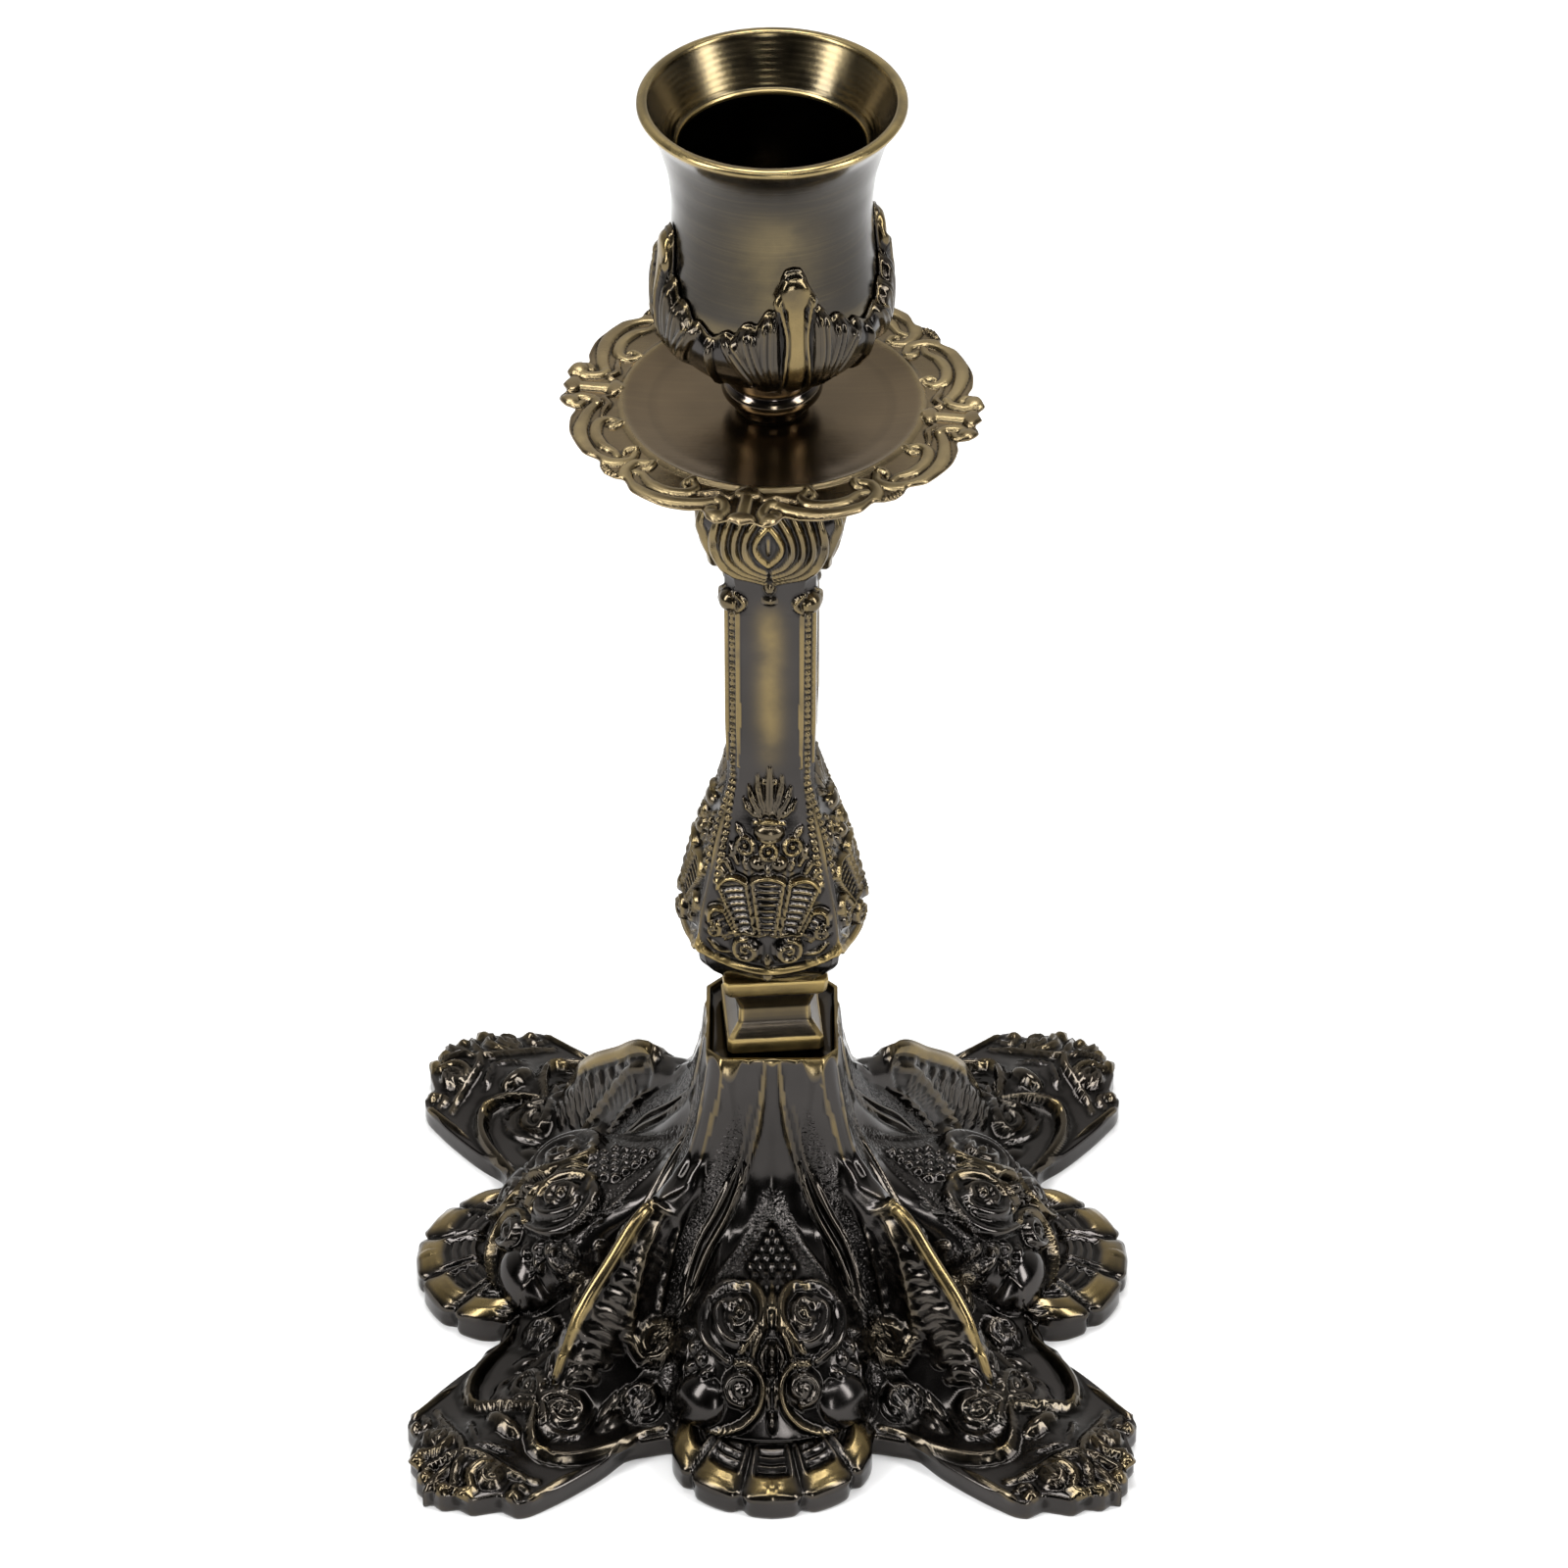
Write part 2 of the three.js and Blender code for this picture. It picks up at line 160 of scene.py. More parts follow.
# ---- relief ----
class Relief:
    """Ornament over points (x, y) of a surface: its height, bare brass and grain at each."""

    def __init__(self, x, y):
        self.x, self.y = x, y
        self.height, self.gilt, self.grain = (np.zeros_like(x) for _ in range(3))

    def near(self, path, reach):
        """Indices of the points near a path, their distance to it, place along it and side."""
        path = np.asarray(path, float)
        lowest, highest = path.min(0) - reach, path.max(0) + reach
        found = np.flatnonzero(
            (self.x > lowest[0]) & (self.x < highest[0]) & (self.y > lowest[1]) & (self.y < highest[1])
        )
        x, y = self.x[found], self.y[found]
        lengths = np.hypot(*np.diff(path, axis=0).T) + 1e-9
        starts = np.concatenate([[0], np.cumsum(lengths)])
        best, along, side = np.full(x.shape, np.inf), np.zeros_like(x), np.zeros_like(x)
        for (ax, ay), (bx, by), length, start in zip(path, path[1:], lengths, starts):
            ux, uy = (bx - ax) / length, (by - ay) / length
            t = np.clip((x - ax) * ux + (y - ay) * uy, 0, length)
            dx, dy = x - ax - t * ux, y - ay - t * uy
            distance = np.hypot(dx, dy)
            closer = distance < best
            best[closer] = distance[closer]
            along[closer] = ((start + t) / starts[-1])[closer]
            side[closer] = np.sign(ux * dy - uy * dx)[closer]
        return found, best, along, side

    def lay(self, found, height, gilt):
        """Keeps the higher of what is there and the new height; the winner sets the gilding."""
        wins = height > self.height[found]
        chosen = found[wins]
        self.height[chosen] = height[wins]
        self.gilt[chosen] = (gilt * np.ones(len(wins)))[wins]

    def stroke(self, points, *size, **shape):
        """A ridge along the smooth curve through the points."""
        self.ridge(curve(*points), *size, **shape)

    def ridge(self, path, width, height, gilt=0.0, ends=(0.6, 0.6), on=0.0, power=1.0, section=None):
        """A ridge along a path. ends scale its width and height at each end, on lifts it onto a
        platform, power under 1 gives it a fuller top, and section shapes it across, -1 to 1."""
        found, distance, along, side = self.near(path, width)
        swell = mix(mix(ends[0], 1, ease(along, 0, 0.3)), ends[1], ease(along, 0.6, 1))
        across = distance / (width / 2 * swell)
        body = np.clip(1 - across**2, 0, None) ** power
        if section is not None:
            body = body * section(across * side)
        inside = across < 1
        self.lay(found[inside], (on + height * swell * body)[inside], gilt)

    def blob(self, centre, radii, height, gilt=0.0, turn=0.0, on=0.0, power=1.0):
        """A dome with an elliptical foot."""
        rx, ry = radii if isinstance(radii, tuple) else (radii, radii)
        dx, dy = self.x - centre[0], self.y - centre[1]
        c, s = math.cos(math.radians(turn)), math.sin(math.radians(turn))
        reach = ((dx * c + dy * s) / rx) ** 2 + ((dy * c - dx * s) / ry) ** 2
        found = np.flatnonzero(reach < 1)
        self.lay(found, on + height * (1 - reach[found]) ** power, gilt)

    def volute(self, centre, radius, start, turns, width, height, gilt=0.0, dish=0.5, squash=1.0):
        """A round boss with a spiral ridge wound into its eye."""
        self.blob(centre, (radius, radius * squash), dish, gilt * 0.4, power=0.35)
        path = spiral(centre, radius - width * 0.45, start, turns, squash=squash)
        self.ridge(path, width, height, gilt, (1, 0.75), on=dish)
        self.blob(centre, width * 0.62, height * 1.1, gilt, on=dish)

    def take(self, other):
        """Adds another relief over the same points."""
        self.lay(np.arange(len(self.height)), other.height, other.gilt)
        self.grain = np.maximum(self.grain, other.grain)

    def stipple(self, points, width):
        """Marks a strip along the curve through the points as grained."""
        found, distance, _, _ = self.near(curve(*points), width)
        self.grain[found] = np.maximum(self.grain[found], ease(distance, width / 2, width / 2 - 0.5))


# ---- meshes ----
def skin(rings, closed=True):
    """Points and faces of a body of rings, each of shape (n, 3). A ring may have twice or half as
    many points as its neighbour. closed joins the last ring to the first."""
    points = np.vstack(rings)
    starts = np.cumsum([0] + [len(ring) for ring in rings])
    pairs = [(i, i + 1) for i in range(len(rings) - 1)] + ([(len(rings) - 1, 0)] if closed else [])
    faces = []
    for i, k in pairs:
        n, m = len(rings[i]), len(rings[k])
        a = starts[i] + np.arange(n)
        b = starts[k] + np.arange(m)
        if n == m:
            faces.append(np.stack([a, b, np.roll(b, -1), np.roll(a, -1)], 1))
            continue
        coarse, fine, flip = (a, b, False) if m > n else (b, a, True)
        even, odd, ahead = fine[::2], fine[1::2], np.roll(fine[::2], -1)
        following = np.roll(coarse, -1)
        for tri in ([coarse, even, odd], [coarse, odd, following], [following, odd, ahead]):
            tri = tri[::-1] if flip else tri
            faces.append(np.stack([*tri, tri[2]], 1))
    faces = np.vstack(faces)
    corner = points[faces]
    volume = np.einsum("ij,ij->i", corner[:, 0], np.cross(corner[:, 1], corner[:, 2])).sum()
    volume += np.einsum("ij,ij->i", corner[:, 0], np.cross(corner[:, 2], corner[:, 3])).sum()
    if volume < 0:
        triangles = faces[:, 2] == faces[:, 3]
        faces = faces[:, ::-1].copy()
        faces[triangles] = np.roll(faces[triangles], -1, axis=1)
    return points, faces


def gather(index, values, size):
    return np.stack([np.bincount(index, values[:, k], size) for k in range(3)], 1)


def normals(points, faces):
    corner = points[faces]
    flat = np.cross(corner[:, 2] - corner[:, 0], corner[:, 3] - corner[:, 1])
    total = sum(gather(faces[:, k], flat, len(points)) for k in range(4))
    return total / (np.linalg.norm(total, axis=1, keepdims=True) + 1e-12)


def crests(points, faces, passes=6):
    """How far each point stands out of its blurred surroundings, in millimetres."""
    a = faces.ravel()
    b = np.roll(faces, -1, axis=1).ravel()
    a, b = np.concatenate([a, b]), np.concatenate([b, a])
    count = np.bincount(a, minlength=len(points))[:, None]
    blurred = points
    for _ in range(passes):
        blurred = (blurred + gather(a, blurred[b], len(points)) / count) / 2
    return ((points - blurred) * normals(points, faces)).sum(1)


def piece(name, points, faces, finish, turn=0.0, sharp=None, caps=(), gilt=0.0, grain=0.0):
    """Makes the mesh of a CAD node, in metres, and puts it in that node's place."""
    material, slot = finish
    c, s = math.cos(math.radians(turn)), math.sin(math.radians(turn))
    turned = points @ np.array([[c, s, 0], [-s, c, 0], [0, 0, 1]])
    mesh = bpy.data.meshes.new(name + "_mesh")
    polygons = [list(dict.fromkeys(face)) for face in faces.tolist()] + [list(cap) for cap in caps]
    mesh.from_pydata((turned * MM).tolist(), [], polygons)
    mesh.shade_smooth()
    if sharp is not None:
        mesh.set_sharp_from_angle(angle=math.radians(sharp))
    layers = {"gilt": gilt, "grain": grain, "crest": crests(points, faces)}
    for layer, values in layers.items():
        attribute = mesh.attributes.new(layer, "FLOAT", "POINT")
        attribute.data.foreach_set("value", np.float32(values * np.ones(len(points))))
    made = bpy.data.objects.new(name + "_finish", mesh)
    bpy.context.scene.collection.objects.link(made)
    made.data.materials.append(material)
    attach(made, "root")
    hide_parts(name)
    return made


def lathe(profile, segments=96):
    """Rings from a list of (radius, height)."""
    return [ring(radius, height, segments) for radius, height in profile]


def rounded(corners, radius, steps=4):
    """A closed profile of corners with each one rounded."""
    corners = np.array(corners, float)
    path = []
    for before, corner, after in zip(np.roll(corners, 1, 0), corners, np.roll(corners, -1, 0)):
        into, out = before - corner, after - corner
        reach = min(radius, np.linalg.norm(into) / 2.1, np.linalg.norm(out) / 2.1)
        a = corner + into / np.linalg.norm(into) * reach
        b = corner + out / np.linalg.norm(out) * reach
        for t in np.linspace(0, 1, steps):
            path.append(mix(mix(a, corner, t), mix(corner, b, t), t))
    return path


def softened(sections, reach, steps=3):
    """An open list of sections with each inner corner rounded."""
    rows = np.array(sections, float)
    path = [rows[0]]
    for before, corner, after in zip(rows, rows[1:], rows[2:]):
        into, out = before - corner, after - corner
        a = corner + into * min(reach / np.linalg.norm(into), 0.45)
        b = corner + out * min(reach / np.linalg.norm(out), 0.45)
        path += [mix(mix(a, corner, t), mix(corner, b, t), t) for t in np.linspace(0, 1, steps)]
    return path + [rows[-1]]


# ---- materials ----
def node(tree, kind, inputs=None, **settings):
    """Adds a shader node; inputs are sockets to link or plain values."""
    made = tree.nodes.new("ShaderNode" + kind)
    for key, value in settings.items():
        setattr(made, key, value)
    for key, value in (inputs or {}).items():
        if isinstance(value, bpy.types.NodeSocket):
            tree.links.new(value, made.inputs[key])
        else:
            made.inputs[key].default_value = value
    return made


def ramp(tree, value, start, end, low_value=0.0, high_value=1.0):
    inputs = {0: value, 1: start, 2: end, 3: low_value, 4: high_value}
    return node(tree, "MapRange", inputs, clamp=True).outputs[0]


def blend(tree, share, a, b):
    inputs = {0: share, 6: a, 7: b}
    return node(tree, "Mix", inputs, data_type="RGBA").outputs[2]


def math_node(tree, operation, a, b=0.0, clamp=False):
    return node(tree, "Math", {0: a, 1: b}, operation=operation, use_clamp=clamp).outputs[0]


def noise(tree, scale, detail=3.0, stretch=(1, 1, 1), turn=0.0, roughness=0.55):
    """Noise over the object; stretch multiplies its frequency along each axis."""
    place = node(tree, "TexCoord").outputs["Object"]
    inputs = {0: place, "Scale": stretch, "Rotation": (0, 0, math.radians(turn))}
    vector = node(tree, "Mapping", inputs).outputs[0]
    inputs = {"Vector": vector, "Scale": scale, "Detail": detail, "Roughness": roughness}
    return node(tree, "TexNoise", inputs).outputs[0]


# near black: random tarnish, and the painted shade in hollows
SHADE_AND_TARNISH = (0.012, 0.011, 0.010, 1)


def plated(name, dark, brass, dull=(0.16, 0.3), wear=(0.015, 0.075), rub=1.0, brush=None, brushing=0.0,
           tarnish=0.35, cast=0.0, worn_brush=0.0, recess=0.75):
    """Darkened plating that is rubbed back to brass on its crests and where gilt says, with painted shade
    in its hollows.
    Gives the material and its name.
    dull is the roughness of the dark and of the brass, wear the crest that starts and finishes
    the rubbing, brush the stretch of the brush marks, brushing their depth, cast the skin's."""
    material = bpy.data.materials.new(name)
    material.use_nodes = True
    tree = material.node_tree
    shader = tree.nodes["Principled BSDF"]
    shader.inputs["Metallic"].default_value = 1.0
    crest, gilt, grain = (
        node(tree, "Attribute", attribute_name=layer).outputs["Fac"] for layer in ("crest", "gilt", "grain")
    )
    patches = noise(tree, 160, 4)
    rubbed = ramp(tree, crest, *wear, 0.0, rub)
    rubbed = math_node(tree, "MAXIMUM", rubbed, gilt)
    rubbed = math_node(tree, "MULTIPLY", rubbed, ramp(tree, patches, 0.34, 0.56, 0.45, 1.0))
    streaks = noise(tree, 60, 6, brush or (1, 1, 1), roughness=0.7)
    rubbed = math_node(tree, "ADD", rubbed, ramp(tree, streaks, 0.5, 0.75, 0.0, worn_brush), True)
    # painted shade: hollows, where a point sits below its blurred surroundings, are darkened towards near
    # black by recess
    hollow = ramp(tree, crest, -0.012, -0.07, 0.0, recess)
    cloud = ramp(tree, noise(tree, 45, 3), 0.35, 0.65, 1 - tarnish, 1.0)
    colour = blend(tree, rubbed, dark, brass)
    colour = blend(tree, hollow, colour, SHADE_AND_TARNISH)
    colour = blend(tree, cloud, SHADE_AND_TARNISH, colour)
    tree.links.new(colour, shader.inputs["Base Color"])
    sheen = ramp(tree, rubbed, 0.0, 1.0, *dull)
    smudge = ramp(tree, patches, 0.3, 0.7, -0.03, 0.06)
    tree.links.new(math_node(tree, "ADD", sheen, smudge, True), shader.inputs["Roughness"])
    pits = node(tree, "Bump", {"Height": noise(tree, 1500, 2), "Distance": 0.00025})
    tree.links.new(math_node(tree, "MULTIPLY", grain, 0.9), pits.inputs["Strength"])
    inputs = {"Height": noise(tree, 420, 3), "Distance": 0.0002, "Strength": 0.1 + cast}
    bump = node(tree, "Bump", {**inputs, "Normal": pits.outputs[0]})
    if brush:
        inputs = {"Height": streaks, "Distance": 0.0001, "Strength": brushing}
        bump = node(tree, "Bump", {**inputs, "Normal": bump.outputs[0]})
    tree.links.new(bump.outputs[0], shader.inputs["Normal"])
    return material, name


DARK = (0.05, 0.046, 0.044, 1)
BRASS = (0.40, 0.29, 0.11, 1)
PALE_BRASS = (0.43, 0.335, 0.17, 1)
RINGS = (1, 1, 60)        # brush marks that run round the axis
ACROSS = (1, 60, 1)       # brush marks that run along X

CAST = plated("dark_casting", DARK, BRASS, wear=(0.08, 0.25), rub=0.05, cast=0.03)
CARVED = plated("relief_casting", DARK, BRASS, wear=(0.03, 0.14), rub=0.4, brush=RINGS, brushing=0.1,
                cast=0.05)
SQUARE = plated("old_brass", (0.08, 0.066, 0.05, 1), BRASS, (0.18, 0.36), wear=(0.01, 0.05), brush=RINGS,
                brushing=0.15, worn_brush=0.1)
PAN = plated("brushed_pan", (0.16, 0.118, 0.072, 1), PALE_BRASS, (0.2, 0.42), wear=(0.03, 0.14), rub=0.5,
             brush=ACROSS, brushing=0.12, worn_brush=0.12)
BEAD = plated("polished_collar", (0.13, 0.11, 0.10, 1), BRASS, (0.09, 0.2), brush=RINGS, brushing=0.08)
CUP = plated("brushed_cup", (0.05, 0.045, 0.039, 1), (0.38, 0.29, 0.13, 1), (0.17, 0.26), brush=RINGS,
             brushing=0.12, worn_brush=0.08)
STEEL = plated("zinc_steel", (0.45, 0.45, 0.46, 1), (0.6, 0.6, 0.58, 1), (0.25, 0.3), brush=RINGS,
               brushing=0.2)


# ---- base casting ----
# Ornament on the base repeats in each octant. A point there is (across, out): distance from the
# middle of the face and from the axis. The diagonal is where the two are equal.
TOP_FACE = 8.4            # axis to the flat of the chamfered square top
TOP_CHAMFER = 14.8        # out + across along the chamfer
SEAT_RIM = 0.5            # width of the edge round the recess for the spool
SEAT_DEPTH = 1.0
CEILING = 4.0             # metal over the cone's hollow
SOLE = 1.7                # metal over the base's hollow
FLANK_TURN = 23           # degrees from the middle of a face to the hollow beside the belly
SHELL_CENTRE = 27         # the shell's ribs fan out from this far out
SHELL_START = 33          # and the shell shows beyond this
SHELL_GROOVES = (12.2, 35.5, 60)
SHELL_REACH = [[0, BASE_HALF - SHELL_CENTRE], [24, 18.9], [47, 17.0], [60, 14.6], [90, 11]]

OUTLINE = [  # (out, across) along the rim after the shell
    [34.4, 13.1], [34.9, 15.5], [36.1, 19], [38.6, 21.2], [41.6, 24.5], [44.6, 28.4], [46.3, 31.2],
    [46.4, 32.6], [45.3, 34.2], [45.6, 36.2], [45.9, 38.3], [44.9, 39.7], [45.0, 42.0], [44.0, 43.0],
    [44.2, 44.2],
]
SIDE = [
    [8.4, 44], [8.8, 38], [9.6, 31], [10.8, 26], [13, 23], [18, 20], [25, 18.4], [28, 17.2],
    [31, 14.6], [33.5, 11.5], [35.5, 8.2], [37.4, 4.9], [46.5, 3],
]
FLANK = [
    [9.2, 44], [9.8, 38], [11, 30], [12.6, 26], [15, 22.5], [19, 17.5], [24, 12], [28, 8.5],
    [31, 6.5], [34, 4.6], [37, 3.4], [62, 2.8],
]
RIDGE = [
    [10.4, 44], [11, 39.7], [14.1, 29.3], [16.3, 26.5], [22.9, 25.9], [28.6, 21.4], [34.9, 15.6],
    [37.8, 10.4], [39.8, 6.2], [42.5, 4.2], [47, 3.6], [52, 3.2], [56, 3.2], [62.4, 2.6],
]
RIDGE_SIDE = [[0, 1], [1, 0.85], [2.6, 0.5], [4.8, 0.15], [6.5, 0]]  # share of the ridge's height
RIDGE_RUN = [[0, 0], [1, 2.06], [2.6, 6.5], [4.8, 11.3], [6.5, 13.7], [12, 19.2]]  # length down it
VIEW_DOWN = math.radians(37.8)  # the belly and corners are drawn as seen from this far above
LEAN, DROP = math.sin(VIEW_DOWN), math.cos(VIEW_DOWN)
BELLY = [  # half width of the belly along its length
    [10, 1.0], [11.4, 2.5], [14, 5.2], [17, 7.8], [20, 9.9], [24, 12.1], [28, 12.6], [31, 12],
    [34, 10], [36, 7.5], [37.3, 4], [37.8, 0.4],
]


def fold(x, y):
    """The same point beside the middle of a face, as (across, out)."""
    a, b = np.abs(x), np.abs(y)
    return np.minimum(a, b), np.maximum(a, b)


def about(foot, across, out):
    """Distance from a point on the middle of the face, and degrees round it from outward."""
    return np.hypot(out - foot, across), np.degrees(np.arctan2(across, out - foot))


def diagonal(across, out):
    """The same point as its place along the diagonal and its distance from it."""
    return (across + out) / ROOT2, (out - across) / ROOT2


def shell_outline():
    """(degrees, radius) round the scalloped edge of half a shell."""
    rows = []
    for fan in np.linspace(0, SHELL_GROOVES[-1] - 1.5, 46):
        gap = min(abs(fan - groove) for groove in SHELL_GROOVES)
        reach = smooth(SHELL_REACH, fan) - 0.9 * bell(gap, 2.6)
        out, across = polar(reach, fan)
        out += SHELL_CENTRE
        rows.append([math.degrees(math.atan2(across, out)), math.hypot(out, across)])
    return rows


RIM_POLAR = shell_outline() + [
    [math.degrees(math.atan2(across, out)), math.hypot(out, across)] for out, across in OUTLINE
]


def rim_radius(degrees):
    return smooth(RIM_POLAR, folded(degrees))


def rim_inset(degrees, wall):
    """The rim drawn in by a wall that is measured square to it."""
    slope = (rim_radius(degrees + 0.6) - rim_radius(degrees - 0.6)) / math.radians(1.2)
    radius = rim_radius(degrees)
    return radius - np.minimum(wall * np.hypot(1, slope / radius), 2 * wall)


def top_radius(degrees, inset=0.0):
    turn = np.radians(folded(degrees))
    chamfer = (TOP_CHAMFER - ROOT2 * inset) / (np.cos(turn) + np.sin(turn))
    return np.minimum((TOP_FACE - inset) / np.cos(turn), chamfer)


def base_ground(degrees, radius):
    """Height of the plain casting: a cone, then the belly on each face and a ridge to each corner."""
    across, out = fold(radius * np.cos(np.radians(degrees)), radius * np.sin(np.radians(degrees)))
    turn = np.degrees(np.arctan2(across, out))
    flank = smooth(FLANK, radius)
    neck = mix(smooth(SIDE, out), flank, ease(turn, 0, FLANK_TURN))
    share = np.clip(across / smooth(BELLY, out), 0, 1)
    belly = mix(flank, smooth(SIDE, out), (1 - share**2.6) ** 0.55)
    side = mix(neck, belly, ease(out, 12, 17))
    along, aside = diagonal(across, out)
    crown = mix(ease(turn, FLANK_TURN - 2, 45), smooth(RIDGE_SIDE, aside), ease(along, 13, 20))
    slope = mix(side, smooth(RIDGE, along), crown)
    slope = slope + 1.9 * bell(aside, 6) * ease(along, 41, 48) * ease(along, 61, 56)
    reach, fan = about(SHELL_CENTRE, across, out)
    plate = mix(5.0, 2.9, ease(reach, 10.5, 19.5)) - 3 * ease(fan, 58, 72) - 9 * ease(reach, 10.6, 9)
    return np.where(out > SHELL_START, np.maximum(slope, plate), slope)


def shell_relief(relief):
    """Five lobes: a smooth rubbed end, and inside it a ladder of bars between two ribs."""
    reach, fan = about(SHELL_CENTRE, relief.x, relief.y)
    rim = smooth(SHELL_REACH, fan)
    edges = (-SHELL_GROOVES[0], *SHELL_GROOVES)
    for start, end in zip(edges, edges[1:]):
        found = np.flatnonzero((fan > start) & (fan <= end) & (reach > 10.4) & (relief.y > SHELL_START))
        share = np.abs((fan[found] - (start + end) / 2) / ((end - start) / 2))
        inward = rim[found] - reach[found]
        tip = ease(inward, 3.9, 3.1)
        lobe = 1.2 * np.sqrt(np.clip(1 - share**2, 0, 1)) * np.sqrt(np.clip(inward / 1.6, 0, 1))
        ribs = 0.95 * bell(share - 0.78, 0.15)
        bars = 0.6 * ladder(inward, 1.25) * ease(share, 0.68, 0.54)
        height = mix(np.maximum(ribs, bars), lobe, tip) * ease(reach[found], 10.6, 12)
        relief.lay(found, height, 0.55 * tip * ease(share, 0.95, 0.45) * ease(inward, 0.1, 0.9))
    relief.volute((11.4, 34.5), 1.4, 90, -1.2, 0.7, 0.5, 0, dish=0.5)


def neck_relief(relief):
    """The cone's corner edges, the straps that fall from its notch, and the grained fields."""
    relief.stroke([(6.45, 8.45), (6.8, 8.75), (7.5, 9.1), (8.5, 9.8), (9.5, 10.8)], 0.5, 0.25, 0.3,
                  (0.6, 0.3))
    relief.stroke([(0.95, 8.45), (1.15, 8.8), (1.6, 9.4), (2.3, 10.2)], 0.5, 0.25, 0.3, (0.8, 0.6))
    inner = ((1.5, 9.2), (2.3, 9.9), (3.7, 11.3), (5.9, 14.0), (8.7, 16.9), (10.1, 19.2), (10.5, 22.6))
    outer = ((2.7, 9.4), (3.5, 9.9), (5.2, 11.4), (7.3, 13.7), (9.6, 16.1), (11.1, 18.9), (11.1, 22.4))
    relief.stroke(inner, 0.95, 0.75, 0.06, (0.3, 0.8))
    relief.stroke(outer, 0.8, 0.6, 0.04, (0.3, 0.9))
    relief.stroke([(1.0, 12.6), (2.8, 15.0), (5.0, 18.2), (7.6, 21.4), (9.8, 24.8)], 0.7, 0.35, 0,
                  (0.4, 0.4))
    relief.stipple([(4.6, 9.8), (6.3, 10.9), (8.1, 12.6), (9.9, 14.9), (12.0, 17.6), (13.2, 20.4),
                    (13.8, 23.4)], 2.1)
    relief.stipple([(0.4, 12.4), (2.6, 16.2), (5.0, 19.6), (8.0, 23.2), (10.4, 26.6)], 2.8)
    relief.stipple([(11.6, 22.6), (11.8, 25.4), (13.0, 27.4)], 2.2)


def ribbon_relief(plan, front):
    """A strap with raised rims that swells over the cone's foot, falls down the side of the ridge
    and winds up in a volute."""
    plan.stroke([(8.7, 10.6), (10.2, 11.9), (11.6, 13.4), (12.6, 14.8)], 2.4, 0.8, 0, (0.2, 1), power=0.6)
    front.stroke([(12.1, -10.6), (14.3, -6.4), (15.7, -1.0), (16.5, 3.0)], 3.6, 0.5, 0, (0.6, 0.8),
                 power=0.4)
    front.stroke([(13.4, -10.6), (16.0, -6.6), (17.4, -1.0), (18.2, 3.6), (18.3, 6.4)], 1.3, 1.2, 0.12,
                 (0.5, 1))
    front.stroke([(11.0, -9.8), (12.7, -6.2), (13.9, -1.0), (14.5, 3.0)], 1.0, 1.0, 0.02, (0.4, 0.8))
    front.volute((14.9, 6.4), 3.6, 0, 2.2, 1.35, 0.75, 0.12, dish=0.8)


def feather_relief(slope, front):
    """The rubbed arc down the diagonal, and slanting barbs between it and the ribbon."""
    slope.stroke([(21.6, 0), (24, 0), (28, 0), (32, 0), (35.5, 0), (38.6, 0)], 2.8, 0.9, 0.55, (0.8, 0.7),
                 power=0.8)
    slope.stroke([(21.2, 0), (21.2, 1.6), (22.8, 2.4)], 1.3, 0.9, 0.1, (1, 0.5))
    for along in np.linspace(21.5, 35.5, 8):
        slope.stroke([(along, 9.0), (along + 1.3, 6.2), (along + 3.8, 2.2)], 2.0, 0.8, 0.03, (0.5, 0.6),
                     power=0.6, section=lambda across: 1 - 0.6 * bell(across, 0.22))
    for barb in (((17.2, 12.0), (18.2, 14.8)), ((18.4, 12.4), (20.2, 15.6)), ((19.8, 13.4), (21.8, 16.2))):
        front.stroke(barb, 1.0, 0.7, 0.04, (0.5, 0.9))


def corner_relief(plan, front):
    """The corner volute, the rim that leaves it and follows the notch, and the bosses."""
    front.volute((26.6, 15.5), 3.4, 20, -2.0, 1.3, 0.7, 0.05, dish=0.9)
    front.stroke([(27.6, 11.2), (29.4, 12.8), (30.5, 15.4), (30.8, 18.0), (29.6, 20.4), (26.2, 21.2),
                 (22.5, 20.7), (18.9, 19.3), (16.1, 18.1), (13.8, 17.5)], 1.2, 1.5, 0.1, (0.5, 0.5),
                 power=0.8)
    front.stroke([(30.6, 18.6), (29.4, 20.4), (26.6, 21.1)], 0.9, 1.7, 0.35, (0.3, 0.3))
    front.volute((16.3, 14.3), 2.6, 0, -1.5, 1.15, 0.6, 0.0, dish=0.7)
    front.blob((20.6, 16.6), (2.0, 1.1), 0.8, 0.02, turn=30)
    front.stroke([(22.6, 15.6), (24.4, 18.4), (27.4, 19.0)], 0.8, 0.8, 0, (0.4, 0.5))
    plan.blob((33.9, 34.4), (2.5, 1.2), 1.3, 0.1, turn=-45, power=0.6)
    plan.stroke([(29.0, 27.6), (31.6, 29.0), (33.4, 31.6)], 1.0, 0.8, 0.02, (0.4, 0.4))


